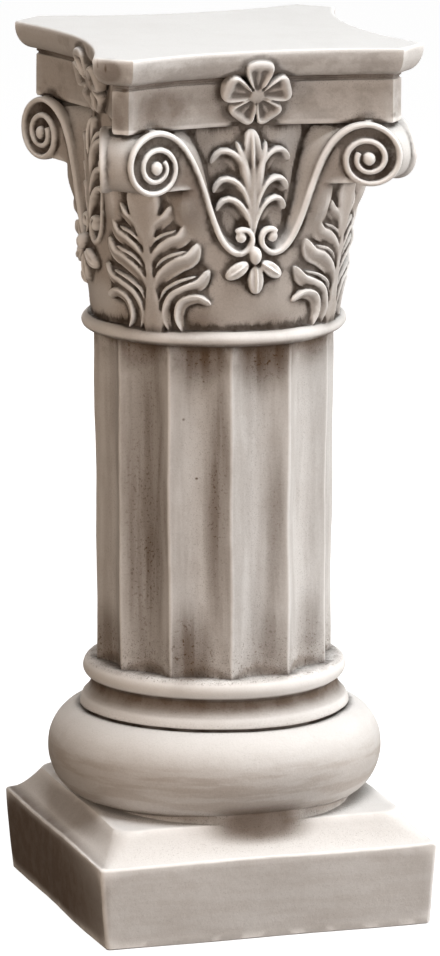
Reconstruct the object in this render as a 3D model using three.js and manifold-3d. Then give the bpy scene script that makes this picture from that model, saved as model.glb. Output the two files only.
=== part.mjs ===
// Cast resin column: square plinth, round base, fluted shaft, leafy capital with corner scrolls, top slab.
// Millimetres, +Z up, front towards -Y, underside at z = 0. One casting, so one solid.
import * as THREE from 'three';
import { mergeVertices } from 'three/addons/utils/BufferGeometryUtils.js';
import Module from 'manifold-3d';

const wasm = await Module();
wasm.setup();

// Driving sizes
const HEIGHT = 720;
const SIDES = 4;
const TURNED_SHIFT = -3; // the round parts stand this far off the plinth's centre, along X
const LATHE_STEPS = 32;
const FLATNESS = 0.02; // faces this close to one plane are taken as one
const SMALLEST_STEP = 0.15; // edges shorter than this are closed up

const PLINTH = {
  bottomHalf: 137.8,
  arrisHalf: 142.5,
  arrisHeight: 69,
  edgeRound: 2.5,
  cornerRound: 4,
  cornerSteps: 2,
  coveFootHalf: 138.5,
  platformHalf: 120.5,
  platformHeight: 92,
  coveBend: 1.4,
  coveSteps: 4,
};

const BASE = {
  neckRadius: 126.5,
  neckTaper: 1.5,
  neckFoot: 79,
  neckTop: 92,
  torusTube: 108,
  torusReach: 29,
  torusMiddle: 131,
  torusDrop: 38,
  torusRise: 35,
  torusFrom: -1.2, // angles of the torus arc, in radians from its widest point
  torusTo: 1.35,
  creaseDepth: 3.5, // crease between torus and fillet
  creaseHeight: 2,
  filletRadius: 110.5,
  filletFoot: 167,
  filletTop: 176.5,
  scotiaRadius: 100,
  scotiaShoulder: 2,
  scotiaDrop: 2.5,
  astragalRadius: 107.3,
  astragalMiddle: 198,
  astragalHalf: 8.2,
  astragalSpan: 1.2,
  arcSteps: 4,
  topCover: 1, // the base runs this far up inside the shaft
};

const SHAFT = {
  foot: 205,
  top: 480,
  footRadius: 96.6,
  topRadius: 98.4,
  flutes: 12,
  firstArris: THREE.MathUtils.degToRad(-9),
  landAngle: THREE.MathUtils.degToRad(1.3),
  fluteDepth: 8.5,
  fluteSteps: 5,
};

const BELL = {
  ringRadius: 108,
  ringMiddle: 486.5,
  ringHalf: 7,
  ringSpan: 1.35,
  ringSteps: 4,
  foot: 493.5,
  footRadius: 100,
  fullHeight: 556,
  fullRadius: 106,
  coreRadius: 98,
  top: 660.5,
  levels: 4,
};

const SCROLL = {
  faceMiddle: 105, // distance of the scroll faces from the axis, at mid side
  innerSlope: 0.2, // how fast they swing out beyond mid side
  outerSlope: 0.33, // and under the scrolls
  eyeAcross: 88,
  eyeHeight: 630.5,
  outerRadius: 27.5,
  rollRadius: 24,
  rollSteps: 4,
  rollEnd: 0.8, // quarter turns that the roll goes on above its middle
  rollSeat: 0.5, // step between the bell and the roll over it
  turns: 1.8,
  shrinkPerQuarter: 0.161,
  ribWidth: 6.2,
  ribHeight: 3,
  ribRoot: 1.5,
  ribDeepRoot: 14,
  shallowShare: 0.6, // first part of a band's points, all on its spiral, where its root is shallow
  spiralSteps: 14,
  curveSteps: 4,
  curlSteps: 3,
  shoulderAcross: 40, // where the S-curve's upper and lower ends head for
  waistAcross: 45,
  eyeRadius: 6,
  eyeSink: 1,
  smallAcross: 13,
  smallHeight: 569.5,
  smallRadius: 13.5,
  smallShrinkPerQuarter: 0.43,
  smallTurn: 0.6,
  smallEyeRadius: 5.5,
  cornerLean: 0.34, // how far the bell has swung out to the corners just under the scrolls
  cornerBend: 2.2,
};

// The cutter for the field between the bands, by its distances from the axis
const FIELD = { inner: 60, outer: 150, over: 1 };

const LEAF = { root: 4, steps: 3 };

const PENDANT = { sink: 2, budRadius: 5.5, budOut: 4, budHeight: 554 };

const SLAB = {
  bottom: 658,
  footRise: 2,
  footInset: 1,
  fasciaHalf: 120.4,
  fasciaCorner: 10.5,
  fasciaTop: 692.5,
  crease: 1.5,
  filletTop: 697.5,
  sideHollow: 22,
  cornerGrowth: 0.877,
  eggStart: 2,
  eggSteps: 3,
  moulding: 17.3,
  mouldingTop: 716,
  lip: 1.5,
  sideSteps: 6,
};

const ROSETTE = {
  height: 684,
  radius: 29.5,
  petals: 5,
  petalLength: 14.5,
  petalWidth: 13,
  petalThickness: 6,
  distance: 104.5,
  petalSides: 5,
  petalRings: 3,
  lean: THREE.MathUtils.degToRad(19),
  buttonRadius: 6.5,
  buttonOut: 2.5,
};

const RESIN = { color: 0xb9aea3, roughness: 0.82, metalness: 0 };

// Small helpers
const UP = new THREE.Vector3(0, 0, 1);
const fullTurn = 2 * Math.PI;
const quarterTurn = fullTurn / SIDES;
const WELD = 1e-4; // points closer than this are one point
const lerp = THREE.MathUtils.lerp;
const range = (count) => Array.from({ length: count }, (_, index) => index);
const fractions = (steps) => range(steps + 1).map((index) => index / steps);

// A closed body through rings of equal point counts, its ends closed by fans
function loft(rings) {
  const count = rings[0].length;
  const points = rings.flat();
  const triangles = [];
  for (let level = 0; level < rings.length - 1; level += 1) {
    for (let index = 0; index < count; index += 1) {
      const next = (index + 1) % count;
      const low = level * count;
      const high = low + count;
      triangles.push(low + index, low + next, high + next, low + index, high + next, high + index);
    }
  }
  const closeEnd = (ring, start, flip) => {
    const centre = ring.reduce((sum, point) => sum.add(point), new THREE.Vector3()).divideScalar(count);
    const hub = points.push(centre) - 1;
    for (let index = 0; index < count; index += 1) {
      const next = (index + 1) % count;
      triangles.push(...(flip ? [hub, start + next, start + index] : [hub, start + index, start + next]));
    }
  };
  closeEnd(rings[0], 0, true);
  closeEnd(rings[rings.length - 1], (rings.length - 1) * count, false);
  const geometry = new THREE.BufferGeometry().setFromPoints(points);
  geometry.setIndex(triangles);
  return geometry;
}

function signedVolume(position, triangles) {
  const corner = range(3).map(() => new THREE.Vector3());
  let volume = 0;
  for (let start = 0; start < triangles.length; start += 3) {
    corner.forEach((vertex, side) => vertex.fromBufferAttribute(position, triangles[start + side]));
    volume += corner[0].dot(corner[1].clone().cross(corner[2]));
  }
  return volume;
}

// Triangles that kept three different corners when equal points were merged
function withoutSlivers(indices) {
  const kept = [];
  for (let start = 0; start < indices.length; start += 3) {
    const [a, b, c] = indices.slice(start, start + 3);
    if (a !== b && b !== c && c !== a) {
      kept.push(a, b, c);
    }
  }
  return kept;
}

// A three.js geometry as a manifold solid with its faces pointing out
function toSolid(geometry) {
  geometry.deleteAttribute('normal');
  geometry.deleteAttribute('uv');
  const welded = mergeVertices(geometry, WELD);
  const triangles = withoutSlivers(welded.index.array);
  if (signedVolume(welded.attributes.position, triangles) < 0) {
    triangles.reverse();
  }
  const mesh = new wasm.Mesh({
    numProp: 3,
    vertProperties: new Float32Array(welded.attributes.position.array),
    triVerts: new Uint32Array(triangles),
  });
  return new wasm.Manifold(mesh).setTolerance(FLATNESS);
}

const joined = (solids) => solids.reduce((whole, solid) => whole.add(solid));

// The same geometry on each of the four sides, turned about a vertical axis at shiftX
function onEverySide(geometry, shiftX) {
  return range(SIDES).map((side) => {
    const turned = geometry.clone().rotateZ(side * quarterTurn);
    return toSolid(turned.translate(shiftX, 0, 0));
  });
}

const lathe = (profile) => {
  const points = profile.map(([radius, height]) => new THREE.Vector2(radius, height));
  const geometry = new THREE.LatheGeometry(points, LATHE_STEPS);
  return geometry.rotateX(quarterTurn).translate(TURNED_SHIFT, 0, 0);
};

// Plinth: a tapered block with a cove rising to a smaller square platform
function squareRing(half, height) {
  const arc = fractions(PLINTH.cornerSteps);
  return range(SIDES).flatMap((corner) => arc.map((part) => {
    const angle = (corner + part) * quarterTurn;
    const middle = new THREE.Vector3(half - PLINTH.cornerRound, half - PLINTH.cornerRound, height);
    middle.applyAxisAngle(UP, corner * quarterTurn);
    const round = new THREE.Vector3(Math.cos(angle), Math.sin(angle), 0);
    return middle.addScaledVector(round, PLINTH.cornerRound);
  }));
}

function plinth() {
  const { arrisHalf, arrisHeight, edgeRound, coveFootHalf, platformHalf, platformHeight } = PLINTH;
  const coveFoot = arrisHeight + edgeRound / 2;
  const cove = fractions(PLINTH.coveSteps).map((part) => [
    lerp(coveFootHalf, platformHalf, part),
    lerp(coveFoot, platformHeight, part ** PLINTH.coveBend),
  ]);
  const outline = [
    [PLINTH.bottomHalf, 0],
    [arrisHalf, arrisHeight - edgeRound],
    [arrisHalf - edgeRound / 2, arrisHeight],
    ...cove,
  ];
  return toSolid(loft(outline.map(([half, height]) => squareRing(half, height))));
}

// Round base: neck, large torus, fillet, scotia and astragal
function ellipseArc(centre, reach, middle, rise, from, to, steps) {
  return fractions(steps).map((part) => {
    const angle = lerp(from, to, part);
    return [centre + reach * Math.cos(angle), middle + rise * Math.sin(angle)];
  });
}

function base() {
  const { neckRadius, neckFoot, neckTop, torusTube, torusReach, torusMiddle, torusDrop, torusRise } = BASE;
  const { filletRadius, filletFoot, filletTop, scotiaRadius, arcSteps } = BASE;
  const { astragalRadius, astragalMiddle, astragalHalf, astragalSpan } = BASE;
  const scotiaMiddle = (filletTop + astragalMiddle - astragalHalf) / 2;
  const bead = astragalRadius - scotiaRadius;
  const underside = ellipseArc(torusTube, torusReach, torusMiddle, torusDrop, BASE.torusFrom, 0, arcSteps);
  const upperside = ellipseArc(torusTube, torusReach, torusMiddle, torusRise, 0, BASE.torusTo, arcSteps);
  const astragal = ellipseArc(
    scotiaRadius,
    bead,
    astragalMiddle,
    astragalHalf,
    -astragalSpan,
    astragalSpan,
    arcSteps,
  );
  return toSolid(lathe([
    [0, neckFoot],
    [neckRadius, neckFoot],
    [neckRadius - BASE.neckTaper, neckTop],
    ...underside,
    ...upperside.slice(1),
    [filletRadius - BASE.creaseDepth, filletFoot - BASE.creaseHeight],
    [filletRadius, filletFoot],
    [filletRadius, filletTop],
    [scotiaRadius + BASE.scotiaShoulder, filletTop + BASE.scotiaDrop],
    [scotiaRadius, scotiaMiddle],
    ...astragal,
    [0, SHAFT.foot + BASE.topCover],
  ]));
}

// Shaft: hollow flutes that meet in narrow arrises, cut off square at both rings
function shaft() {
  const pitch = fullTurn / SHAFT.flutes;
  const outline = range(SHAFT.flutes).flatMap((flute) => fractions(SHAFT.fluteSteps).map((part) => {
    const start = SHAFT.firstArris + flute * pitch + SHAFT.landAngle;
    const angle = start + part * (pitch - 2 * SHAFT.landAngle) - quarterTurn;
    const radius = 1 - (SHAFT.fluteDepth / SHAFT.footRadius) * Math.sin(Math.PI * part);
    return new THREE.Vector2(radius * Math.cos(angle), radius * Math.sin(angle));
  }));
  const ring = (radius, height) => outline.map((point) => new THREE.Vector3(
    TURNED_SHIFT + radius * point.x,
    radius * point.y,
    height,
  ));
  return toSolid(loft([ring(SHAFT.footRadius, SHAFT.foot), ring(SHAFT.topRadius, SHAFT.top)]));
}

// Necking ring with the round core of the bell
function neckingAndCore() {
  const { ringRadius, ringMiddle, ringHalf, ringSpan, ringSteps, coreRadius, top } = BELL;
  const bead = ringRadius - coreRadius;
  return toSolid(lathe([
    [0, ringMiddle - ringHalf],
    ...ellipseArc(coreRadius, bead, ringMiddle, ringHalf, -ringSpan, ringSpan, ringSteps),
    [coreRadius, top],
    [0, top],
  ]));
}

// Plan of the scroll faces: flat in the middle, then two straight stretches out to the corners
const faceKnees = [30, 60];

function faceDepth(across) {
  const past = faceKnees.map((knee) => Math.max(Math.abs(across) - knee, 0));
  return SCROLL.faceMiddle + SCROLL.innerSlope * past[0] + (SCROLL.outerSlope - SCROLL.innerSlope) * past[1];
}

// Bell of the capital: round at its foot, swinging out to the corners, with a roll over each corner
const bellRadius = (height) => {
  const rise = Math.min((height - BELL.foot) / (BELL.fullHeight - BELL.foot), 1);
  return lerp(BELL.footRadius, BELL.fullRadius, rise);
};

function bellRing(height, lean, reach) {
  const plan = [-reach, -faceKnees[1], -faceKnees[0], 0, ...faceKnees, reach];
  return range(SIDES).flatMap((side) => plan.map((across) => {
    const depth = faceDepth(across);
    const swing = lerp(bellRadius(height), Math.hypot(across, depth), lean);
    const direction = Math.atan2(across, depth) + side * quarterTurn - quarterTurn;
    return new THREE.Vector3(
      TURNED_SHIFT * (1 - lean) + swing * Math.cos(direction),
      swing * Math.sin(direction),
      height,
    );
  }));
}

const bellLean = (height) => {
  const rise = (height - BELL.foot) / (SCROLL.eyeHeight - SCROLL.rollRadius - BELL.foot);
  return SCROLL.cornerLean * Math.max(rise, 0) ** SCROLL.cornerBend;
};

function bell() {
  const { eyeAcross, eyeHeight, rollRadius } = SCROLL;
  const rollFoot = eyeHeight - rollRadius;
  const lower = fractions(BELL.levels).map((part) => {
    const height = lerp(BELL.foot, rollFoot - SCROLL.rollSeat, part);
    return bellRing(height, bellLean(height), eyeAcross);
  });
  const roll = fractions(SCROLL.rollSteps).map((part) => {
    const angle = lerp(-quarterTurn, SCROLL.rollEnd * quarterTurn, part);
    return bellRing(eyeHeight + rollRadius * Math.sin(angle), 1, eyeAcross + rollRadius * Math.cos(angle));
  });
  const closing = bellRing(BELL.top, 1, eyeAcross);
  return toSolid(loft([...lower, ...roll, closing]));
}

// The line of each scroll band: corner spiral, S-curve and small inner curl, as (across, height) points
const sCurve = new THREE.CubicBezierCurve(
  new THREE.Vector2(SCROLL.eyeAcross, SCROLL.eyeHeight + SCROLL.outerRadius),
  new THREE.Vector2(SCROLL.shoulderAcross, SCROLL.eyeHeight + SCROLL.outerRadius),
  new THREE.Vector2(SCROLL.waistAcross, SCROLL.smallHeight - SCROLL.smallRadius),
  new THREE.Vector2(SCROLL.smallAcross, SCROLL.smallHeight - SCROLL.smallRadius),
);

function scrollLine() {
  const spiral = fractions(SCROLL.spiralSteps).map((part) => {
    const angle = (1 - part) * SCROLL.turns * fullTurn;
    const radius = SCROLL.outerRadius * Math.exp((-SCROLL.shrinkPerQuarter * angle) / quarterTurn);
    return new THREE.Vector2(
      SCROLL.eyeAcross + radius * Math.sin(angle),
      SCROLL.eyeHeight + radius * Math.cos(angle),
    );
  });
  const curl = fractions(SCROLL.curlSteps).map((part) => {
    const angle = part * SCROLL.smallTurn * fullTurn;
    const radius = SCROLL.smallRadius * Math.exp((-SCROLL.smallShrinkPerQuarter * angle) / quarterTurn);
    return new THREE.Vector2(
      SCROLL.smallAcross - radius * Math.sin(angle),
      SCROLL.smallHeight - radius * Math.cos(angle),
    );
  });
  return [...spiral, ...sCurve.getPoints(SCROLL.curveSteps).slice(1), ...curl.slice(1)];
}

// A raised form along a line of (across, height) points: sectionAt gives its (beside, out) outline part way
// along, and place puts a point of it in space
function sweep(line, sectionAt, place) {
  const rings = line.map((point, index) => {
    const before = line[Math.max(index - 1, 0)];
    const after = line[Math.min(index + 1, line.length - 1)];
    const along = after.clone().sub(before).normalize();
    return sectionAt(index / (line.length - 1)).map(([beside, out]) => {
      const across = point.x - beside * along.y;
      return place(across, point.y + beside * along.x, out);
    });
  });
  return loft(rings);
}

function scrollBands() {
  const { ribWidth, ribHeight, ribRoot, ribDeepRoot } = SCROLL;
  const { eyeAcross, eyeHeight, smallAcross, smallHeight } = SCROLL;
  const place = (across, height, out) => new THREE.Vector3(across, -(faceDepth(across) + out), height);
  const mirrored = (across, height, out) => place(-across, height, out);
  const half = ribWidth / 2;
  const section = (part) => {
    const onSpiral = part < SCROLL.shallowShare;
    const root = onSpiral ? ribRoot : ribDeepRoot;
    const crown = onSpiral ? 0 : half / 2;
    return [[-half, -root], [half, -root], [crown, ribHeight], [-crown, ribHeight]];
  };
  return [place, mirrored].flatMap((put) => {
    const eyes = [
      [eyeAcross, eyeHeight, SCROLL.eyeRadius],
      [smallAcross, smallHeight, SCROLL.smallEyeRadius],
    ].map(([across, height, radius]) => {
      const centre = put(across, height, -SCROLL.eyeSink);
      return new THREE.IcosahedronGeometry(radius, 0).translate(centre.x, centre.y, centre.z);
    });
    return [sweep(scrollLine(), section, put), ...eyes];
  });
}

// The sunk field between the scroll bands, cut back to the round core
function fieldCutter() {
  const top = BELL.top + FIELD.over;
  const curve = sCurve.getPoints(SCROLL.curveSteps);
  const shape = new THREE.Shape([
    new THREE.Vector2(SCROLL.eyeAcross, top),
    ...curve,
    ...curve.map((point) => new THREE.Vector2(-point.x, point.y)).reverse(),
    new THREE.Vector2(-SCROLL.eyeAcross, top),
  ]);
  const depth = FIELD.outer - FIELD.inner;
  const geometry = new THREE.ExtrudeGeometry(shape, { depth, steps: 1, bevelEnabled: false });
  return geometry.rotateX(quarterTurn).translate(0, -FIELD.inner, 0);
}

// A leaf: a ridge along a quadratic curve, widest part way and pointed at both ends. An entry holds the
// curve's three (across, height) points, the leaf's width and how far it stands out
function leaf([from, bend, tip, width, rise], place) {
  const curve = new THREE.QuadraticBezierCurve(
    new THREE.Vector2(...from),
    new THREE.Vector2(...bend),
    new THREE.Vector2(...tip),
  );
  const section = (part) => {
    const swell = Math.sin(Math.PI * part);
    const half = (width / 2) * swell;
    return [[-half, -LEAF.root], [half, -LEAF.root], [0, lerp(-LEAF.root, rise, swell)]];
  };
  return sweep(curve.getPoints(LEAF.steps), section, place);
}

const bothSides = (list) => list.flatMap((entry) => [1, -1].map((sign) => {
  const flipped = entry.slice(0, 3).map(([across, height]) => [sign * across, height]);
  return [...flipped, ...entry.slice(3)];
}));

// Places points on a round wall of the given radius, across being the way round it from mid side
const aroundWall = (radius) => (across, height, out) => {
  const angle = across / radius;
  const reach = radius + out;
  return new THREE.Vector3(reach * Math.sin(angle), -reach * Math.cos(angle), height);
};

// Leaf sprig in the field, and the bud with three petals that hangs below it
function sprig() {
  const place = aroundWall(BELL.coreRadius);
  const pairs = bothSides([
    [[5, 612], [14, 650], [32, 629], 11, 8],
    [[4, 590], [12, 626], [29, 607], 11, 8],
    [[3, 577], [10, 607], [27, 592], 10, 8],
    [[3, 618], [9, 636], [9, 650], 6, 9],
  ]);
  const upright = [
    [[0, 632], [0, 645], [0, 660], 14, 10],
    [[0, 574], [0, 600], [0, 636], 12, 9],
  ];
  return [...pairs, ...upright].map((entry) => leaf(entry, place));
}

function pendant() {
  const radius = BELL.fullRadius - PENDANT.sink;
  const petals = [
    ...bothSides([[[4, 549], [12, 546], [21, 537], 9, 7]]),
    [[0, 550], [0, 538], [0, 526], 11, 7],
  ];
  const bud = new THREE.IcosahedronGeometry(PENDANT.budRadius, 0);
  bud.translate(0, -(radius + PENDANT.budOut), PENDANT.budHeight);
  return [...petals.map((entry) => leaf(entry, aroundWall(radius))), bud];
}

// Leaf on each corner of the bell, drawn about the corner's middle line
function cornerLeaf() {
  const place = (across, height, out) => {
    const angle = across / BELL.fullRadius;
    const lean = bellLean(Math.min(height, SCROLL.eyeHeight - SCROLL.rollRadius));
    const corner = Math.hypot(SCROLL.eyeAcross, faceDepth(SCROLL.eyeAcross)) * Math.cos(angle);
    const reach = lerp(bellRadius(height), corner, lean) + out;
    const direction = angle - quarterTurn / 2;
    return new THREE.Vector3(reach * Math.sin(direction), -reach * Math.cos(direction), height);
  };
  const lobes = bothSides([
    [[2, 572], [8, 590], [18, 596], 9, 5],
    [[2, 556], [16, 562], [31, 580], 10, 5],
    [[2, 536], [22, 542], [39, 563], 11, 5],
    [[10, 500], [16, 530], [46, 545], 11, 5],
    [[24, 496], [24, 526], [47, 518], 10, 5],
  ]);
  const upright = [
    [[0, 494], [0, 540], [0, 590], 11, 5],
    [[0, 582], [0, 596], [0, 608], 24, 5],
  ];
  return [...lobes, ...upright].map((entry) => leaf(entry, place));
}

// Top slab: hollow sides and cut corners, a plain band, a fillet and an egg-shaped moulding
function slabRing(projection, height) {
  const half = SLAB.fasciaHalf + projection;
  const reach = half - SLAB.fasciaCorner - SLAB.cornerGrowth * projection;
  return range(SIDES).flatMap((side) => fractions(SLAB.sideSteps).map((part) => {
    const across = lerp(-reach, reach, part);
    const depth = half - SLAB.sideHollow * (1 - (across / reach) ** 2);
    const point = new THREE.Vector3(across, -depth, height);
    return point.applyAxisAngle(UP, side * quarterTurn);
  }));
}

function slab() {
  const { bottom, footRise, footInset, fasciaTop, crease, filletTop, moulding, mouldingTop, lip } = SLAB;
  const egg = fractions(SLAB.eggSteps).map((part) => {
    const angle = part * quarterTurn;
    return [
      lerp(SLAB.eggStart, moulding, Math.sin(angle)),
      lerp(filletTop, mouldingTop, 1 - Math.cos(angle)),
    ];
  });
  const profile = [
    [-footInset, bottom],
    [0, bottom + footRise],
    [0, fasciaTop],
    [-crease, fasciaTop + crease],
    [0, filletTop - crease],
    ...egg,
    [moulding, HEIGHT - lip],
    [moulding - lip, HEIGHT],
  ];
  return toSolid(loft(profile.map(([projection, height]) => slabRing(projection, height))));
}

// Five-petalled flower in the middle of each side of the slab, leaning out with the moulding
function rosette() {
  const petalCentre = ROSETTE.radius - ROSETTE.petalLength;
  const petals = range(ROSETTE.petals).map((index) => {
    const petal = new THREE.SphereGeometry(1, ROSETTE.petalSides, ROSETTE.petalRings);
    petal.scale(ROSETTE.petalWidth, ROSETTE.petalThickness, ROSETTE.petalLength);
    petal.translate(0, 0, petalCentre);
    return petal.rotateY((index * fullTurn) / ROSETTE.petals);
  });
  const button = new THREE.IcosahedronGeometry(ROSETTE.buttonRadius, 0).translate(0, -ROSETTE.buttonOut, 0);
  return [...petals, button].map((piece) => {
    piece.rotateX(ROSETTE.lean);
    return piece.translate(0, -ROSETTE.distance, ROSETTE.height);
  });
}

// The whole casting
function column() {
  const centred = (pieces) => pieces.flatMap((piece) => onEverySide(piece, 0));
  const turned = (pieces) => pieces.flatMap((piece) => onEverySide(piece, TURNED_SHIFT));
  const hollowedBell = onEverySide(fieldCutter(), 0).reduce((body, cutter) => body.subtract(cutter), bell());
  const whole = joined([
    plinth(),
    base(),
    shaft(),
    neckingAndCore(),
    hollowedBell,
    slab(),
    ...centred(scrollBands()),
    ...centred(rosette()),
    ...turned(sprig()),
    ...turned(pendant()),
    ...turned(cornerLeaf()),
  ]);
  return whole.asOriginal().simplify(SMALLEST_STEP);
}

function toMesh(solid, name, look) {
  const { vertProperties, triVerts } = solid.getMesh();
  const geometry = new THREE.BufferGeometry();
  geometry.setAttribute('position', new THREE.Float32BufferAttribute(vertProperties, 3));
  geometry.setIndex(Array.from(triVerts));
  geometry.computeVertexNormals();
  const mesh = new THREE.Mesh(geometry, new THREE.MeshStandardMaterial(look));
  mesh.name = name;
  return mesh;
}

const group = new THREE.Group();
group.add(toMesh(column(), 'column', RESIN));

export default group;
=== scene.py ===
"""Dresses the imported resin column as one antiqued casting, with its studio and its camera.

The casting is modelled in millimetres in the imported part's own frame (+Z up, front towards -Y), joined
into one closed mesh, given wear masks that its finish reads, and brought to metres.
"""

from __future__ import annotations

import logging
import math
from collections.abc import Callable, Iterator, Sequence
from contextlib import contextmanager
from dataclasses import dataclass
from enum import Enum
from functools import partial, reduce

import bpy
import numpy as np
import openvdb
from mathutils import Matrix, Vector

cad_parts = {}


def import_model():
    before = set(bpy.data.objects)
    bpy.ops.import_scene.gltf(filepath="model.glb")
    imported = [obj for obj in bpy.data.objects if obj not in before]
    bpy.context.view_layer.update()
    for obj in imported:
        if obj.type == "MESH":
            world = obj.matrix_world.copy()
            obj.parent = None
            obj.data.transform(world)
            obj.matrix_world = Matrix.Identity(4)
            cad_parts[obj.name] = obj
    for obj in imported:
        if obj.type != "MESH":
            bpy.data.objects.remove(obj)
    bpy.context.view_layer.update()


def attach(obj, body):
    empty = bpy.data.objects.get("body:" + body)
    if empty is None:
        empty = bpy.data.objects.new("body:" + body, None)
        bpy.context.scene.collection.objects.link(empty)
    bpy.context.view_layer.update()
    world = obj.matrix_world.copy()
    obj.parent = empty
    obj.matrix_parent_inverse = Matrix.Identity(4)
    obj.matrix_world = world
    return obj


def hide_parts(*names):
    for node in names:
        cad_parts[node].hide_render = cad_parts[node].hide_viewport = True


LOG = logging.getLogger("resin_column")

Array = np.ndarray
Piece = bpy.types.Object
Pair = tuple[float, float]
Place = Callable[[Array, Array, Array], Array]

MILLIMETRE = 0.001
FULL_TURN = 2.0 * math.pi
SIDES = 4
QUARTER_TURN = FULL_TURN / SIDES
HEIGHT = 720.0
TURNED_SHIFT = -3.0  # the round parts stand this far off the plinth's centre, along X
WELD = 0.01  # points closer than this are one point


# Bench tools


def deselect_all() -> None:
    """Leave nothing selected, so that the next operator acts on new work only."""
    bpy.ops.object.select_all(action="DESELECT")


def take_up(piece: Piece) -> None:
    """Make a piece the active one and the only one selected."""
    deselect_all()
    piece.select_set(True)
    bpy.context.view_layer.objects.active = piece


@contextmanager
def edit_mode(piece: Piece) -> Iterator[None]:
    """Edit one piece, with all of its mesh selected at the start."""
    take_up(piece)
    bpy.ops.object.mode_set(mode="EDIT")
    bpy.ops.mesh.select_all(action="SELECT")
    yield
    bpy.ops.object.mode_set(mode="OBJECT")


def points_of(piece: Piece) -> Array:
    """Return the piece's vertices as an array of rows."""
    points = np.empty(len(piece.data.vertices) * 3)
    piece.data.vertices.foreach_get("co", points)
    return points.reshape(-1, 3)


def move_points(piece: Piece, points: Array) -> None:
    """Put the piece's vertices at new places."""
    piece.data.vertices.foreach_set("co", np.ascontiguousarray(points, dtype=np.float32).ravel())
    piece.data.update()


def close_up(piece: Piece) -> Piece:
    """Merge doubled vertices and turn all faces outwards.

    Args:
        piece: A closed shape.

    Returns:
        The same piece.
    """
    with edit_mode(piece):
        bpy.ops.mesh.remove_doubles(threshold=WELD)
        bpy.ops.mesh.normals_make_consistent(inside=False)
    return piece


def apply_modifier(piece: Piece, kind: str, **settings: object) -> None:
    """Add one modifier with the given settings and apply it.

    Args:
        piece: The piece that is worked on.
        kind: Blender's name for the modifier.
        settings: The modifier's properties.
    """
    take_up(piece)
    modifier = piece.modifiers.new(kind.lower(), kind)
    for name, value in settings.items():
        setattr(modifier, name, value)
    bpy.ops.object.modifier_apply(modifier=modifier.name)


class Joint(Enum):
    """What a second closed piece does to the first."""

    UNION = "UNION"
    DIFFERENCE = "DIFFERENCE"


def boolean(piece: Piece, other: Piece, joint: Joint) -> None:
    """Join another closed piece to this one or cut it away, and delete the other.

    Args:
        piece: The piece that stays.
        other: The piece that is used up.
        joint: Whether the other is added or cut away.
    """
    apply_modifier(piece, "BOOLEAN", operation=joint.value, object=other, solver="MANIFOLD")
    bpy.data.objects.remove(other)


def gathered(pieces: Sequence[Piece], name: str) -> Piece:
    """Put several pieces into one mesh without cutting them.

    Args:
        pieces: The pieces, which are used up.
        name: The new piece's name.

    Returns:
        The one piece that holds them all.
    """
    take_up(pieces[0])
    for piece in pieces:
        piece.select_set(True)
    bpy.ops.object.join()
    joined = bpy.context.object
    joined.name = name
    return joined


def triangulate_all() -> None:
    """Cut the faces selected in edit mode into triangles."""
    bpy.ops.mesh.quads_convert_to_tris(quad_method="SHORTEST_DIAGONAL", ngon_method="BEAUTY")


def edge_ends(piece: Piece) -> Array:
    """Return the two vertices of each edge of a piece, as rows."""
    ends = np.empty(2 * len(piece.data.edges), dtype=np.int32)
    piece.data.edges.foreach_get("vertices", ends)
    return ends.reshape(-1, 2)


def divide_long_edges(piece: Piece, longest: float, low: float, high: float, rounds: int = 4) -> None:
    """Halve every edge between two heights that is longer than a length, and triangulate.

    Args:
        piece: The piece that is worked on.
        longest: The length that is allowed.
        low: Edges that lie wholly below this height stay as they are.
        high: Edges that lie wholly above this height stay as they are.
        rounds: How often edges may be halved.
    """
    with edit_mode(piece):
        triangulate_all()
        bpy.ops.mesh.select_mode(type="EDGE")
    for _ in range(rounds):
        points = points_of(piece)
        ends = edge_ends(piece)
        long = np.linalg.norm(points[ends[:, 0]] - points[ends[:, 1]], axis=1) > longest
        levels = points[ends, 2]
        long &= (levels.max(axis=1) > low) & (levels.min(axis=1) < high)
        if not long.any():
            break
        with edit_mode(piece):
            bpy.ops.mesh.select_all(action="DESELECT")
            bpy.ops.object.mode_set(mode="OBJECT")
            piece.data.edges.foreach_set("select", long)
            bpy.ops.object.mode_set(mode="EDIT")
            bpy.ops.mesh.subdivide(number_cuts=1)
            bpy.ops.mesh.select_all(action="SELECT")
            triangulate_all()


def on_every_side(piece: Piece, axis_x: float) -> list[Piece]:
    """Copy a piece made for the front to the other three sides.

    Args:
        piece: The piece on the front side.
        axis_x: Where the upright axis of the turn crosses X.

    Returns:
        The piece and its three copies, each with its own mesh.
    """
    pieces = [piece]
    centre = Matrix.Translation((axis_x, 0.0, 0.0))
    for side in range(1, SIDES):
        copy = piece.copy()
        copy.data = piece.data.copy()
        copy.data.transform(centre @ Matrix.Rotation(side * QUARTER_TURN, 4, "Z"))
        bpy.context.scene.collection.objects.link(copy)
        pieces.append(copy)
    piece.data.transform(centre)
    return pieces


def lofted(name: str, rings: Array) -> Piece:
    """Extrude a filled circle level by level and set each level out as a ring.

    Args:
        name: The new piece's name.
        rings: Points by level, place in the ring and axis.

    Returns:
        A closed piece through all rings, with flat ends.
    """
    levels, count, _ = rings.shape
    deselect_all()
    bpy.ops.mesh.primitive_circle_add(vertices=count, radius=1.0, fill_type="NGON")
    piece = bpy.context.object
    piece.name = name
    with edit_mode(piece):
        for _ in range(levels - 1):
            bpy.ops.mesh.extrude_region_move(TRANSFORM_OT_translate={"value": (0.0, 0.0, 1.0)})
    points = points_of(piece)
    level = np.rint(points[:, 2]).astype(int)
    turn = (QUARTER_TURN - np.arctan2(points[:, 1], points[:, 0])) / (FULL_TURN / count)
    move_points(piece, rings[level, np.rint(turn).astype(int) % count])
    return close_up(piece)


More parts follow.
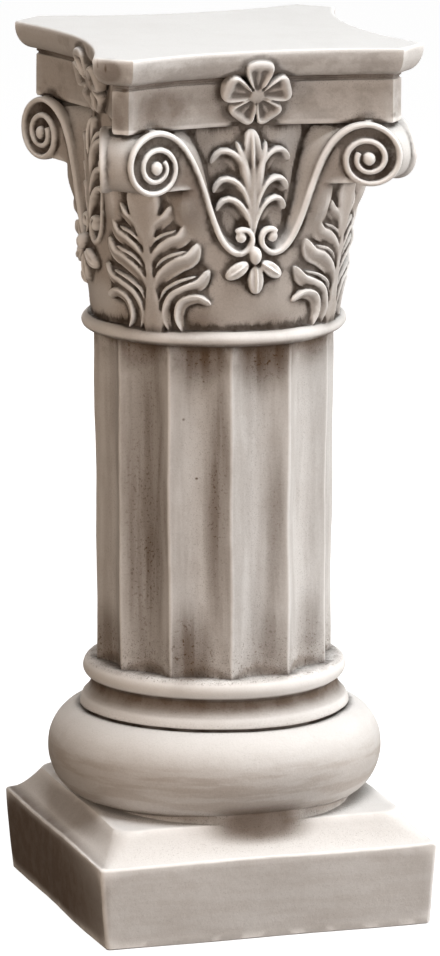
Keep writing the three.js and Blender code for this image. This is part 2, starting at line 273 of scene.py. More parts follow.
def spun(name: str, profile: Sequence[Pair], steps: int, axis: Pair = (TURNED_SHIFT, 0.0)) -> Piece:
    """Draw an outline vertex by vertex and spin it about an upright axis.

    Args:
        name: The new piece's name.
        profile: Radius and height of each point, from axis to axis.
        steps: Number of steps round.
        axis: Where the axis stands, along X and Y.

    Returns:
        The closed turned piece.
    """
    deselect_all()
    bpy.ops.mesh.primitive_plane_add(size=1.0)
    piece = bpy.context.object
    piece.name = name
    with edit_mode(piece):
        bpy.ops.mesh.merge(type="CENTER")
        bpy.ops.transform.translate(value=(profile[0][0], 0.0, profile[0][1]))
        for (radius, height), (next_radius, next_height) in zip(profile, profile[1:]):
            step = (next_radius - radius, 0.0, next_height - height)
            bpy.ops.mesh.extrude_region_move(TRANSFORM_OT_translate={"value": step})
        bpy.ops.mesh.select_all(action="SELECT")
        bpy.ops.mesh.spin(steps=steps, angle=FULL_TURN, center=(0.0, 0.0, 0.0), axis=(0.0, 0.0, 1.0))
        bpy.ops.mesh.select_all(action="SELECT")
        bpy.ops.transform.translate(value=(*axis, 0.0))
    return close_up(piece)


# Shapes in the flat


def stacked(x: Array, y: Array, z: Array) -> Array:
    """Return points as rows from their three coordinates."""
    return np.stack(np.broadcast_arrays(x, y, z), axis=-1)


def four_sides(side: Array) -> Array:
    """Return a whole plan from the points of its front side, by quarter turns."""
    turns = [np.array(Matrix.Rotation(k * QUARTER_TURN, 2)) for k in range(SIDES)]
    return np.vstack([side @ turn.T for turn in turns])


def cut_corner(side: Array, points: int) -> tuple[Array, Array]:
    """Return the straight corner after a side of a plan.

    Args:
        side: Points of the front side.
        points: Number of points between the two sides.

    Returns:
        The corner's points, and how far along it each one is.
    """
    part = np.linspace(0.0, 1.0, points + 2)[1:-1, None]
    following = side[0] @ np.array(Matrix.Rotation(QUARTER_TURN, 2)).T
    return side[-1] * (1.0 - part) + following * part, part


def smoothstep(low: float, high: float, value: Array | float) -> Array:
    """Rise smoothly from 0 at low to 1 at high."""
    part = np.clip((np.asarray(value, dtype=float) - low) / (high - low), 0.0, 1.0)
    return part * part * (3.0 - 2.0 * part)


def arc(centre: Pair, reach: float, rise: float, start: float, end: float, steps: int) -> list[Pair]:
    """Return points on an ellipse in a turned outline.

    Args:
        centre: Radius and height of the ellipse's middle.
        reach: Half its width.
        rise: Half its height.
        start: First angle in radians, from straight out.
        end: Last angle.
        steps: Number of steps between them.

    Returns:
        Radius and height of each point.
    """
    angles = np.linspace(start, end, steps + 1)
    return [(centre[0] + reach * math.cos(a), centre[1] + rise * math.sin(a)) for a in angles]


class Line:
    """A smooth line in the flat, through a few points or given densely, walked by its length."""

    DENSE = 24  # points for each stretch between two knots
    STEP = 0.01  # share of the length over which the direction is taken

    def __init__(self, points: Sequence[Pair], smooth: bool = True) -> None:
        """Keep the line.

        Args:
            points: Across and height of each point.
            smooth: Whether to round the line between the points.
        """
        knots = np.asarray(points, dtype=float)
        self.points = self._rounded(knots) if smooth else knots
        lengths = np.linalg.norm(np.diff(self.points, axis=0), axis=1)
        self.walked = np.concatenate([[0.0], np.cumsum(lengths)])

    def _rounded(self, knots: Array) -> Array:
        """Return dense points of a Catmull-Rom curve through the knots."""
        padded = np.vstack([2 * knots[0] - knots[1], knots, 2 * knots[-1] - knots[-2]])
        part = np.linspace(0.0, 1.0, self.DENSE, endpoint=False)[:, None]
        pieces = []
        for a, b, c, d in zip(padded, padded[1:], padded[2:], padded[3:]):
            cubic = (3 * b - a - 3 * c + d) * part**3
            pieces.append(0.5 * (2 * b + (c - a) * part + (2 * a - 5 * b + 4 * c - d) * part**2 + cubic))
        return np.vstack([*pieces, knots[-1:]])

    def at(self, part: Array) -> tuple[Array, Array]:
        """Walk along the line.

        Args:
            part: Shares of the line's length.

        Returns:
            The points there, and the unit direction to the left of the walk.
        """
        there = np.clip(part, 0.0, 1.0) * self.walked[-1]
        ahead = self.STEP * self.walked[-1]

        def point(walked: Array) -> Array:
            """Return the point at a walked length."""
            axes = (np.interp(walked, self.walked, self.points[:, axis]) for axis in range(2))
            return np.stack(list(axes), axis=1)

        step = point(np.minimum(there + ahead, self.walked[-1])) - point(np.maximum(there - ahead, 0.0))
        step /= np.linalg.norm(step, axis=1, keepdims=True)
        return point(there), np.stack([-step[:, 1], step[:, 0]], axis=1)


class Relief(Enum):
    """How a carved form stands out across its width, from its right edge (-1) to its left edge (1)."""

    ROUND = ((-1.0, 0.0), (-0.92, 0.4), (-0.7, 0.72), (-0.35, 0.94), (0.0, 1.0), (0.35, 0.94), (0.7, 0.72),
             (0.92, 0.4), (1.0, 0.0))
    RIMMED = ((-1.0, 0.0), (-0.95, 0.75), (-0.84, 1.0), (-0.7, 0.7), (-0.5, 0.4), (-0.32, 0.3), (0.0, 0.52),
              (0.32, 0.3), (0.5, 0.4), (0.7, 0.7), (0.84, 1.0), (0.95, 0.75), (1.0, 0.0))
    CLAW = ((-1.0, 0.0), (-0.85, 0.12), (-0.3, 0.2), (0.05, 0.45), (0.3, 0.9), (0.55, 1.0), (0.85, 0.75),
            (1.0, 0.0))
    VEINED = ((-1.0, 0.0), (-0.95, 0.45), (-0.78, 0.78), (-0.5, 0.74), (-0.22, 0.72), (0.0, 1.0),
              (0.22, 0.72), (0.5, 0.74), (0.78, 0.78), (0.95, 0.45), (1.0, 0.0))
    BLADE = ((-1.0, 0.0), (-0.95, 0.3), (-0.82, 0.42), (-0.66, 0.3), (-0.3, 0.48), (0.1, 0.8), (0.45, 1.0),
             (0.7, 0.9), (0.88, 0.45), (1.0, 0.0))
    FLAT = ((-1.0, 0.0), (-0.96, 0.6), (-0.85, 0.95), (-0.5, 1.0), (0.0, 0.96), (0.5, 1.0), (0.85, 0.95),
            (0.96, 0.6), (1.0, 0.0))

    def out(self, beside: Array) -> Array:
        """Return how far out the form stands at places across it, as a share of its rise."""
        places, shares = zip(*self.value)
        return np.interp(beside, places, shares)


@dataclass
class Carving:
    """A carved leaf, petal, rib or stem that runs along a line on a wall.

    Attributes:
        line: The line that it follows.
        width: Its full width at the widest place.
        rise: How far it stands out of the wall.
        relief: Its shape across.
        root: How far it reaches into the wall.
        blunt: 2 for an oval plan, more for blunter ends.
        taper: How much wider it is at its start than at its end, as a share.
        rises: Shares of the rise at places along the line, for a form that stands out unevenly.
        lip: Share of the line, at its end, over which the form closes with a full lip.
        lip_full: Share of the lip, at its end, that has reached its full height.
        sides: Points round its section.
        rings: Sections along it.
    """

    line: Line
    width: float
    rise: float
    relief: Relief = Relief.ROUND
    root: float = 4.0
    blunt: float = 2.0
    taper: float = 0.0
    rises: tuple[Pair, ...] = ((0.0, 1.0), (1.0, 1.0))
    lip: float = 0.0
    lip_full: float = 0.4
    sides: int = 28
    rings: int = 24

    def build(self, name: str, place: Place, mirror: float = 1.0) -> Piece:
        """Shape a ball into the carved form.

        Args:
            name: The new piece's name.
            place: Puts across, height and out into space.
            mirror: -1 for the form's mirror image.

        Returns:
            The closed form.
        """
        deselect_all()
        bpy.ops.mesh.primitive_uv_sphere_add(segments=self.sides, ring_count=self.rings, radius=1.0)
        piece = bpy.context.object
        piece.name = name
        ball = points_of(piece)
        part = (1.0 - ball[:, 2]) / 2.0
        turn = np.arctan2(ball[:, 1], ball[:, 0])
        middle, left = self.line.at(part)
        swell = np.clip(1.0 - np.abs(2.0 * part - 1.0) ** self.blunt, 0.0, 1.0) ** (1.0 / self.blunt)
        beside = np.cos(turn)
        half = 0.5 * self.width * swell * (1.0 + self.taper * (0.5 - part))
        across = self.relief.out(beside)
        if self.lip:
            closing = smoothstep(1.0 - self.lip, 1.0 - self.lip_full * self.lip, part)
            across = across + (Relief.FLAT.out(beside) - across) * closing
        top = self.rise * np.interp(part, *zip(*self.rises)) * np.sqrt(swell) * across
        out = np.where(np.sin(turn) >= 0.0, top, self.root * np.sin(turn))
        flat = middle + left * (beside * half)[:, None]
        move_points(piece, place(mirror * flat[:, 0], flat[:, 1], out))
        return close_up(piece)


# The casting, part by part


@dataclass
class Plinth:
    """The square foot: a tapered block with a cove that rises to a smaller platform."""

    bottom_half: float = 137.8
    arris_half: float = 142.5
    arris_height: float = 69.0
    edge_round: float = 2.5
    corner_round: float = 4.0
    cove_foot_half: float = 138.5
    platform_half: float = 120.5
    platform_height: float = 92.0
    cove_bend: float = 1.4
    corner_soft: float = 13.0
    foot_bevel: float = 1.2
    edge_start: float = 0.4
    edge_steps: int = 3
    platform_round: float = 1.5
    platform_lift: float = 0.4
    platform_inset: float = 8.0
    side_rows: int = 11
    cove_rows: int = 9
    side_points: int = 44
    corner_points: int = 7

    def _ring(self, half: float, height: float, corner: float) -> Array:
        """Return one level's square with rounded corners.

        Args:
            half: Half its width.
            height: Its height.
            corner: The radius of its corners.

        Returns:
            The level's points.
        """
        straight = half - corner
        across = np.linspace(-straight, straight, self.side_points)
        angles = np.linspace(0.0, QUARTER_TURN, self.corner_points)[1:-1]
        xs = np.concatenate([across, straight + corner * np.sin(angles)])
        ys = np.concatenate([np.full(self.side_points, -half), -straight - corner * np.cos(angles)])
        plan = four_sides(np.stack([xs, ys], axis=1))
        return stacked(plan[:, 0], plan[:, 1], height)

    def outline(self) -> list[tuple[float, float, float]]:
        """Return half width, height and corner radius of each level, from the floor up."""
        low = np.linspace(0.0, self.arris_height - self.edge_round, self.side_rows)
        slope = (self.arris_half - self.bottom_half) / low[-1]
        side = [(self.bottom_half + slope * height, height) for height in low]
        edge = arc(
            (self.arris_half - self.edge_round, self.arris_height - self.edge_round),
            self.edge_round, self.edge_round, self.edge_start, QUARTER_TURN, self.edge_steps,
        )
        part = np.linspace(0.0, 1.0, self.cove_rows)
        halves = self.cove_foot_half + (self.platform_half - self.cove_foot_half) * part
        rise = self.platform_height - self.arris_height - self.edge_round / 4
        heights = self.arris_height + self.edge_round / 4 + rise * part**self.cove_bend
        corners = self.corner_round + self.corner_soft * part
        bevel = [(self.bottom_half - self.foot_bevel, 0.0), (self.bottom_half, self.foot_bevel)]
        block = [*bevel, *side[1:], *edge]
        top = self.platform_height
        platform = [
            (self.platform_half - self.platform_round, top + self.platform_lift, corners[-1]),
            (self.platform_half - self.platform_inset, top, corners[-1]),
        ]
        lower = [(*level, self.corner_round) for level in block]
        return [*lower, *zip(halves, heights, corners), *platform]

    def build(self) -> Piece:
        """Loft the plinth through its levels."""
        return lofted("plinth", np.stack([self._ring(*level) for level in self.outline()]))


@dataclass
class RoundBase:
    """The turned base: neck, large torus, fillet, scotia and astragal."""

    neck_radius: float = 101.0
    neck_foot: float = 79.0
    neck_top: float = 103.5
    neck_axis: Pair = (-1.0, -25.0)
    neck_draft: float = 0.5
    torus_tube: float = 108.0
    torus_reach: float = 29.0
    torus_middle: float = 131.0
    torus_drop: float = 38.0
    torus_rise: float = 35.0
    torus_arc: Pair = (-1.2, 1.38)
    fillet_radius: float = 110.5
    fillet_foot: float = 167.0
    fillet_top: float = 174.5
    fillet_lean: float = 2.4
    fillet_bend: float = 0.4
    crease: tuple[Pair, ...] = ((-4.0, -2.5), (-2.5, -0.6), (0.0, 0.8))
    scotia_radius: float = 100.0
    scotia_bend: float = 2.2
    scotia_rows: int = 7
    astragal_radius: float = 107.3
    astragal_middle: float = 198.0
    astragal_half: float = 8.2
    astragal_arc: Pair = (-1.35, 1.45)
    arc_steps: int = 12
    sink: float = 1.0
    steps: int = 144

    def build(self) -> Piece:
        """Spin the base's outline."""
        torus = (self.torus_tube, self.torus_middle)
        lowest, highest = self.torus_arc
        under = arc(torus, self.torus_reach, self.torus_drop, lowest, 0.0, self.arc_steps)
        over = arc(torus, self.torus_reach, self.torus_rise, 0.0, highest, self.arc_steps)[1:]
        bead = (self.scotia_radius, self.astragal_middle)
        reach = self.astragal_radius - self.scotia_radius
        astragal = arc(bead, reach, self.astragal_half, *self.astragal_arc, self.arc_steps)
        fillet_face = self.fillet_radius - self.fillet_bend * self.fillet_lean
        scotia_foot = self.fillet_radius - self.fillet_lean
        scotia_height = self.astragal_middle - self.astragal_half - self.fillet_top
        scotia = [
            (self.scotia_radius + (scotia_foot - self.scotia_radius) * (1.0 - part) ** self.scotia_bend,
             self.fillet_top + part * scotia_height)
            for part in np.linspace(0.0, 1.0, self.scotia_rows, endpoint=False)
        ]
        return spun("round_base", [
            (0.0, under[0][1]),
            *under,
            *over,
            *((self.fillet_radius + out, self.fillet_foot + up) for out, up in self.crease),
            (fillet_face, (self.fillet_foot + self.fillet_top) / 2),
            *scotia,
            *astragal,
            (0.0, FlutedShaft.foot + self.sink),
        ], self.steps)

    def build_neck(self) -> Piece:
        """Spin the low neck under the torus, which stands a little further to the front."""
        outline = [
            (0.0, self.neck_foot),
            (self.neck_radius, self.neck_foot),
            (self.neck_radius - self.neck_draft, self.neck_top),
            (0.0, self.neck_top),
        ]
        return spun("neck", outline, self.steps, self.neck_axis)


@dataclass
class FlutedShaft:
    """The shaft with hollow flutes that meet in narrow arrises."""

    foot: float = 203.0
    top: float = 483.0
    foot_radius: float = 96.6
    top_radius: float = 98.4
    flutes: int = 12
    first_arris: float = math.radians(-9.0)
    land_angle: float = math.radians(0.5)
    flute_depth: float = 10.0
    flute_steps: int = 14
    rows: int = 44

    def build(self) -> Piece:
        """Loft the fluted plan from foot to top."""
        pitch = FULL_TURN / self.flutes
        part = 0.5 - 0.5 * np.cos(np.linspace(0.0, math.pi, self.flute_steps + 1))
        starts = self.first_arris + np.arange(self.flutes) * pitch + self.land_angle - QUARTER_TURN
        angles = (starts[:, None] + part * (pitch - 2 * self.land_angle)).ravel()
        hollow = np.tile(np.sin(math.pi * part), self.flutes) * self.flute_depth / self.foot_radius
        heights = np.linspace(self.foot, self.top, self.rows)[:, None]
        radii = np.linspace(self.foot_radius, self.top_radius, self.rows)[:, None] * (1.0 - hollow)
        rings = stacked(TURNED_SHIFT + radii * np.cos(angles), radii * np.sin(angles), heights)
        return lofted("shaft", rings)


@dataclass
class Bell:
    """The capital's bell: round at its foot, swung out and rolled over at its four corners."""

    foot: float = 492.0
    foot_radius: float = 100.0
    full_height: float = 556.0
    full_radius: float = 106.0
    core_radius: float = 98.0
    top: float = 661.0
    ring_radius: float = 108.0
    ring_middle: float = 486.5
    ring_half: float = 7.0
    face_middle: float = 105.0
    inner_knee: float = 30.0
    inner_slope: float = 0.2
    outer_knee: float = 60.0
    outer_slope: float = 0.33
    knee_soft: float = 6.0
    eye_across: float = 88.0
    eye_height: float = 630.5
    outer_radius: float = 27.5
    shrink_per_quarter: float = 0.161
    corner_lean: float = 0.34
    corner_bend: float = 2.2
    band_from: float = 540.0
    band_full: float = 602.0
    band_edge: float = 50.0
    band_low_edge: float = 22.0
    corner_bulge: float = 0.012
    roll_gap: float = 0.8
    ring_arc: float = 1.4
    levels: int = 22
    roll_levels: int = 18
    side_points: int = 25
    corner_points: int = 5
    ring_points: int = 14
    ring_steps: int = 144
    core_steps: int = 160

    def radius(self, height: Array | float) -> Array:
        """Return the round bell's radius at a height."""
        rise = np.clip((np.asarray(height) - self.foot) / (self.full_height - self.foot), 0.0, 1.0)
        return self.foot_radius + (self.full_radius - self.foot_radius) * rise

    def face_depth(self, across: Array | float) -> Array:
        """Return how far the scroll faces stand from the axis, along the side."""
        past = np.abs(np.asarray(across, dtype=float))
        inner, outer = (
            np.logaddexp(0.0, (past - knee) / self.knee_soft) * self.knee_soft
            for knee in (self.inner_knee, self.outer_knee)
        )
        return self.face_middle + self.inner_slope * inner + (self.outer_slope - self.inner_slope) * outer

    def spiral_radius(self, turn: Array | float) -> Array:
        """Return the scroll's radius after a turn in radians from its top."""
        return self.outer_radius * np.exp(-self.shrink_per_quarter * np.asarray(turn) / QUARTER_TURN)

    def roll_foot(self) -> float:
        """Return the height of the corner rolls' undersides."""
        return self.eye_height - self.spiral_radius(math.pi)

    def lean_at_corner(self, height: Array | float) -> Array:
        """Return how far the bell has swung out from round to the corner's plan, from 0 to 1."""
        rise = np.clip((np.asarray(height) - self.foot) / (self.roll_foot() - self.foot), 0.0, 1.0)
        return self.corner_lean * rise**self.corner_bend

    def _plan(self, reach: float) -> tuple[Array, Array]:
        """Set out the plan of the scroll faces.

        Args:
            reach: How far each side goes from its middle.

        Returns:
            The plan's points, and how far from the middle of its side each one is.
        """
        across = np.linspace(-reach, reach, self.side_points)
        side = np.stack([across, -self.face_depth(across)], axis=1)
        corner, part = cut_corner(side, self.corner_points)
        corner *= 1.0 + self.corner_bulge * np.sin(math.pi * part)
        along = np.concatenate([np.abs(across), np.full(self.corner_points, reach)])
        return four_sides(np.vstack([side, corner])), np.tile(along, SIDES)

    def _ring(self, height: float, lean: Array | float, plan: Array) -> Array:
        """Return one level between the round bell and the plan.

        Args:
            height: Its height.
            lean: 0 for the round bell, 1 for the plan, at each point.
            plan: The plan's points.

        Returns:
            The level's points.
        """
        angle = np.arctan2(plan[:, 1], plan[:, 0])
        reach = self.radius(height) + (np.linalg.norm(plan, axis=1) - self.radius(height)) * lean
        shift = TURNED_SHIFT * (1.0 - np.asarray(lean))
        return stacked(shift + reach * np.cos(angle), reach * np.sin(angle), height)

    def build(self) -> Piece:
        """Loft the bell and its corner rolls."""
        plan, along = self._plan(self.eye_across)
        rings = []
        for height in np.linspace(self.foot, self.roll_foot() - self.roll_gap, self.levels):
            band = smoothstep(self.band_from, self.band_full, height)
            edge = self.band_low_edge + (self.band_edge - self.band_low_edge) * band
            near = smoothstep(edge, self.eye_across, along)
            lean = band * (1.0 - near) + self.lean_at_corner(height) * near
            rings.append(self._ring(height, lean, plan))
        for turn in np.linspace(math.pi, 0.0, self.roll_levels):
            radius = self.spiral_radius(turn)
            rolled, _ = self._plan(self.eye_across + radius * math.sin(turn))
            rings.append(self._ring(self.eye_height + radius * math.cos(turn), 1.0, rolled))
        rings.append(self._ring(self.top, 1.0, plan))
        return lofted("bell", np.stack(rings))

    def build_core(self) -> Piece:
        """Spin the round core that shows in the fields between the scroll bands."""
        low, high = ((self.core_radius, height) for height in (self.foot, self.top))
        return spun("core", [(0.0, self.foot), low, high, (0.0, self.top)], self.core_steps)

    def build_ring(self) -> Piece:
        """Spin the necking ring between shaft and bell."""
        bead = self.ring_radius - self.core_radius
        middle = (self.core_radius, self.ring_middle)
        ring = arc(middle, bead, self.ring_half, -self.ring_arc, self.ring_arc, self.ring_points)
        low, high = self.ring_middle - self.ring_half, self.ring_middle + self.ring_half
        return spun("necking_ring", [(0.0, low), *ring, (0.0, high)], self.ring_steps)

    def on_face(self, across: Array, height: Array, out: Array) -> Array:
        """Place points on the front scroll face."""
        return stacked(across, -(self.face_depth(across) + out), height)

    def _on_round(self, angle: Array, reach: Array, height: Array) -> Array:
        """Place points by their angle from the front, to the right."""
        return stacked(reach * np.sin(angle), -reach * np.cos(angle), height)

    def on_core(self, across: Array, height: Array, out: Array) -> Array:
        """Place points on the front of the sunk core."""
        return self._on_round(across / self.core_radius, self.core_radius + out, height)

    def on_bell(self, across: Array, height: Array, out: Array) -> Array:
        """Place points on the front of the bell below the scrolls."""
        radius = self.radius(height)
        return self._on_round(across / radius, radius + out, height)

    def on_corner(self, across: Array, height: Array, out: Array) -> Array:
        """Place points on the bell about its front left corner."""
        angle = across / self.full_radius
        corner = math.hypot(self.eye_across, float(self.face_depth(self.eye_across))) * np.cos(angle)
        radius = self.radius(height)
        reach = radius + (corner - radius) * self.lean_at_corner(height) + out
        return self._on_round(angle - QUARTER_TURN / 2, reach, height)


@dataclass
class Scrolls:
    """The scroll bands of one side, from corner spiral to small curl, with the field between."""

    bell: Bell
    turns: float = 1.85
    shoulder_across: float = 40.0
    waist_across: float = 45.0
    rib_width: float = 5.0
    rib_rise: float = 4.4
    rib_root: float = 7.0
    rib_rises: tuple[Pair, ...] = ((0.0, 1.0), (0.53, 1.0), (0.62, 0.6), (0.85, 0.6), (0.93, 1.0))
    rib_sides: int = 16
    rib_rings: int = 200
    rib_blunt: float = 24.0
    eye_radius: float = 5.6
    eye_rise: float = 1.1
    small_across: float = 13.0
    small_height: float = 569.5
    small_radius: float = 13.5
    small_shrink: float = 0.43
    small_turn: float = 0.62
    small_eye_radius: float = 4.4
    field_outer: float = 150.0
    field_inner: float = 60.0
    field_slope: float = 10.5
    field_bend: float = 0.95
    field_floor_depth: float = 92.7
    field_crest: float = 4.0
    field_sunk_most: float = 1.5
    field_over: float = 1.0
    field_rows: int = 12
    field_steps: int = 24
    spiral_points: int = 160
    band_steps: int = 80
    small_points: int = 40

    def s_curve(self, steps: int) -> Array:
        """Return points of the S-curve from the corner spiral's top to the small curl's foot."""
        bell = self.bell
        ends = np.array([
            (bell.eye_across, bell.eye_height + bell.outer_radius),
            (self.shoulder_across, bell.eye_height + bell.outer_radius),
            (self.waist_across, self.small_height - self.small_radius),
            (self.small_across, self.small_height - self.small_radius),
        ])
        part = np.linspace(0.0, 1.0, steps + 1)[:, None]
        rest = 1.0 - part
        shares = (rest**3, 3 * rest**2 * part, 3 * rest * part**2, part**3)
        return sum(share * end for share, end in zip(shares, ends))

    def band_line(self) -> Line:
        """Return the whole line of a band, from the spiral's eye to the end of the small curl."""
        bell = self.bell
        turn = np.linspace(self.turns * FULL_TURN, 0.0, self.spiral_points)
        spiral = self._curl((bell.eye_across, bell.eye_height), turn, bell.spiral_radius(turn))
        turn = np.linspace(0.0, self.small_turn * FULL_TURN, self.small_points)
        radius = self.small_radius * np.exp(-self.small_shrink * turn / QUARTER_TURN)
        curl = self._curl((self.small_across, self.small_height), turn, -radius)
        return Line(np.vstack([spiral, self.s_curve(self.band_steps)[1:], curl[1:]]), smooth=False)

    def _curl(self, eye: Pair, turn: Array, radius: Array) -> Array:
        """Return points about an eye, by their turns from straight up and their radii."""
        return np.stack([eye[0] + radius * np.sin(turn), eye[1] + radius * np.cos(turn)], axis=1)

    def _eye(self, name: str, across: float, height: float, radius: float, mirror: float) -> Piece:
        """Add the ball at the middle of a curl.

        Args:
            name: The ball's name.
            across: Where it is along the side.
            height: Its height.
            radius: Its radius.
            mirror: -1 for the left half of the side.

        Returns:
            The ball.
        """
        line = Line([(across, height - radius), (across, height + radius)])
        eye = Carving(line, 2.0 * radius, self.eye_rise * radius, root=radius)
        return eye.build(name, self.bell.on_face, mirror)

    def build(self) -> list[Piece]:
        """Carve the two bands of the front side with their eyes."""
        band = Carving(
            self.band_line(), self.rib_width, self.rib_rise, root=self.rib_root, blunt=self.rib_blunt,
            rises=self.rib_rises, sides=self.rib_sides, rings=self.rib_rings,
        )
        pieces = []
        for mirror in (1.0, -1.0):
            pieces.append(band.build("scroll_band", self.bell.on_face, mirror))
            eye = (self.bell.eye_across, self.bell.eye_height, self.eye_radius)
            pieces.append(self._eye("scroll_eye", *eye, mirror))
            small_eye = (self.small_across, self.small_height, self.small_eye_radius)
            pieces.append(self._eye("small_eye", *small_eye, mirror))
        return pieces

    def field_cutter(self) -> Piece:
        """Loft the block that sinks the front field, narrower towards the core."""
        curve = self.s_curve(self.field_steps)
        top = self.bell.top + self.field_over
        half = np.vstack([[(self.bell.eye_across, top)], curve])
        outline = np.vstack([half, half[::-1] * (-1.0, 1.0)])
        middle = np.array([0.0, top])
        away = outline - middle
        crest = self.bell.face_middle + self.field_crest
        rings = []
        for depth in np.linspace(self.field_outer, self.field_inner, self.field_rows):
            sunk = max(crest - depth, 0.0) / (crest - self.field_floor_depth)
            inward = self.field_slope * min(sunk, self.field_sunk_most) ** self.field_bend
            shrink = 1.0 - inward / np.maximum(np.linalg.norm(away, axis=1, keepdims=True), 1.0)
            ring = middle + away * shrink
            ring[outline[:, 1] >= top] = outline[outline[:, 1] >= top]
            rings.append(stacked(ring[:, 0], -depth, ring[:, 1]))
        return lofted("field_cutter", np.stack(rings))


@dataclass
class Sprig:
    """The upright sprig in each field: stem, bud, two hugging leaflets and three pairs of curled leaves."""

    bell: Bell
    leaf_width: float = 12.5
    leaf_rise: float = 9.5
    leaflet_width: float = 10.0
    leaflet_rise: float = 9.5
    stem_width: float = 11.0
    stem_rise: float = 9.0
    bud_width: float = 15.5
    bud_rise: float = 10.0

    def build(self) -> list[Piece]:
        """Carve the front sprig."""
        leaves = [
            Line([(3.0, 596.0), (7.0, 618.0), (14.0, 632.0), (23.0, 636.0), (32.0, 628.0)]),
            Line([(3.0, 577.0), (6.5, 596.0), (13.0, 609.5), (22.0, 613.0), (30.0, 604.5)]),
            Line([(2.0, 566.0), (5.5, 582.0), (12.0, 593.5), (20.0, 597.0), (27.5, 589.0)]),
        ]
        claw = partial(Carving, width=self.leaf_width, rise=self.leaf_rise, relief=Relief.CLAW)
        claws = [claw(line, blunt=2.3, taper=-0.4) for line in leaves]
        hugging = Line([(3.0, 598.0), (5.5, 622.0), (8.5, 635.0), (12.0, 646.0)])
        leaflet = Carving(hugging, self.leaflet_width, self.leaflet_rise, taper=0.3)
        stem = Carving(Line([(0.0, 565.0), (0.0, 640.0)]), self.stem_width, self.stem_rise, taper=-0.8)
        upright = Line([(0.0, 620.0), (0.0, 656.0)])
        bud = Carving(upright, self.bud_width, self.bud_rise, Relief.VEINED, blunt=2.2)
        pieces = [stem.build("sprig_stem", self.bell.on_core), bud.build("sprig_bud", self.bell.on_core)]
        for mirror in (1.0, -1.0):
            for part in (*claws, leaflet):
                pieces.append(part.build("sprig_leaf", self.bell.on_core, mirror))
        return pieces


@dataclass
class Pendant:
    """The bud with three petals that hangs under the small curls."""

    bell: Bell
    bud_width: float = 11.0
    bud_rise: float = 10.0
    bud_root: float = 5.0
    middle_width: float = 13.0
    side_width: float = 12.0
    petal_rise: float = 8.5

    def build(self) -> list[Piece]:
        """Carve the front pendant."""
        place = self.bell.on_bell
        upright = Line([(0.5, 547.5), (0.5, 562.0)])
        bud = Carving(upright, self.bud_width, self.bud_rise, root=self.bud_root)
        hanging = Line([(1.0, 547.0), (1.5, 523.0)])
        middle = Carving(hanging, self.middle_width, self.petal_rise, Relief.VEINED)
        spread = Line([(5.0, 549.0), (22.5, 536.5)])
        side = Carving(spread, self.side_width, self.petal_rise, Relief.VEINED)
        petals = [side.build("pendant_petal", place, mirror) for mirror in (1.0, -1.0)]
        return [bud.build("pendant_bud", place), middle.build("pendant_petal", place), *petals]


@dataclass
class CornerLeaf:
    """The leaf on each corner of the bell: a slim stem with a flared foot, a spade-shaped top and lobes."""

    bell: Bell
    lobe_width: float = 14.5
    lobe_widths: tuple[float, ...] = (0.75, 0.95, 1.0, 0.85, 0.68)
    lobe_tapers: tuple[float, ...] = (-0.4, -0.45, -0.45, -0.5, -0.3)
    lobe_drop: float = 2.0
    lobe_rise: float = 7.0
    rib_width: float = 3.4
    rib_rise: float = 6.2
    rib_offset: float = 8.8
    rib_reach: Pair = (0.3, 0.86)
    rib_fades: tuple[float, ...] = (0.75, 1.0, 1.0, 0.9, 0.7)

    def _rib(self, lobe: Line) -> Carving:
        """Return the thin rib in the hollow above a lobe."""
        middle, left = lobe.at(np.linspace(*self.rib_reach, len(self.rib_fades)))
        fade = np.array(self.rib_fades)[:, None]
        line = Line((middle + fade * self.rib_offset * left).tolist())
        return Carving(line, self.rib_width, self.rib_rise)

    def build(self) -> list[Piece]:
        """Carve the leaf on the front left corner."""
        place = self.bell.on_corner
        lines = [
            Line([(1.5, 560.0), (5.0, 574.0), (11.0, 583.0), (17.0, 589.0), (20.5, 598.0)]),
            Line([(2.0, 540.0), (7.0, 556.0), (18.0, 566.5), (27.0, 572.0), (32.0, 584.0)]),
            Line([(3.0, 519.0), (8.0, 537.0), (22.0, 549.5), (33.0, 555.0), (39.5, 567.0)]),
            Line([
                (14.0, 492.0), (11.0, 508.0), (17.0, 521.5), (30.0, 529.5), (40.0, 534.5), (47.0, 545.0),
            ]),
            Line([(26.5, 492.0), (21.5, 505.0), (25.0, 517.5), (37.0, 522.0), (48.0, 516.5)]),
        ]
        for line in lines:
            line.points[:, 1] -= self.lobe_drop
        pieces = []
        for mirror in (1.0, -1.0):
            for line, share, taper in zip(lines, self.lobe_widths, self.lobe_tapers):
                width = share * self.lobe_width
                lobe = Carving(line, width, self.lobe_rise, Relief.BLADE, blunt=1.9, taper=taper, rings=36)
                pieces.append(lobe.build("leaf_lobe", place, mirror))
            for line in lines[1:4]:
                pieces.append(self._rib(line).build("leaf_rib", place, mirror))
        middles = (
            ("leaf_stem", (500.0, 590.0), {"width": 6.5, "rise": 6.4, "blunt": 6.0}),
            ("leaf_foot", (487.0, 540.0), {"width": 14.0, "rise": 6.2, "blunt": 4.0, "taper": 1.3}),
            ("leaf_spade", (556.0, 614.0), {"width": 23.0, "rise": 6.6, "blunt": 2.2, "taper": -1.1}),
        )
        for name, ends, sizes in middles:
            line = Line([(0.0, height) for height in ends])
            pieces.append(Carving(line, relief=Relief.FLAT, **sizes).build(name, place))
        return pieces


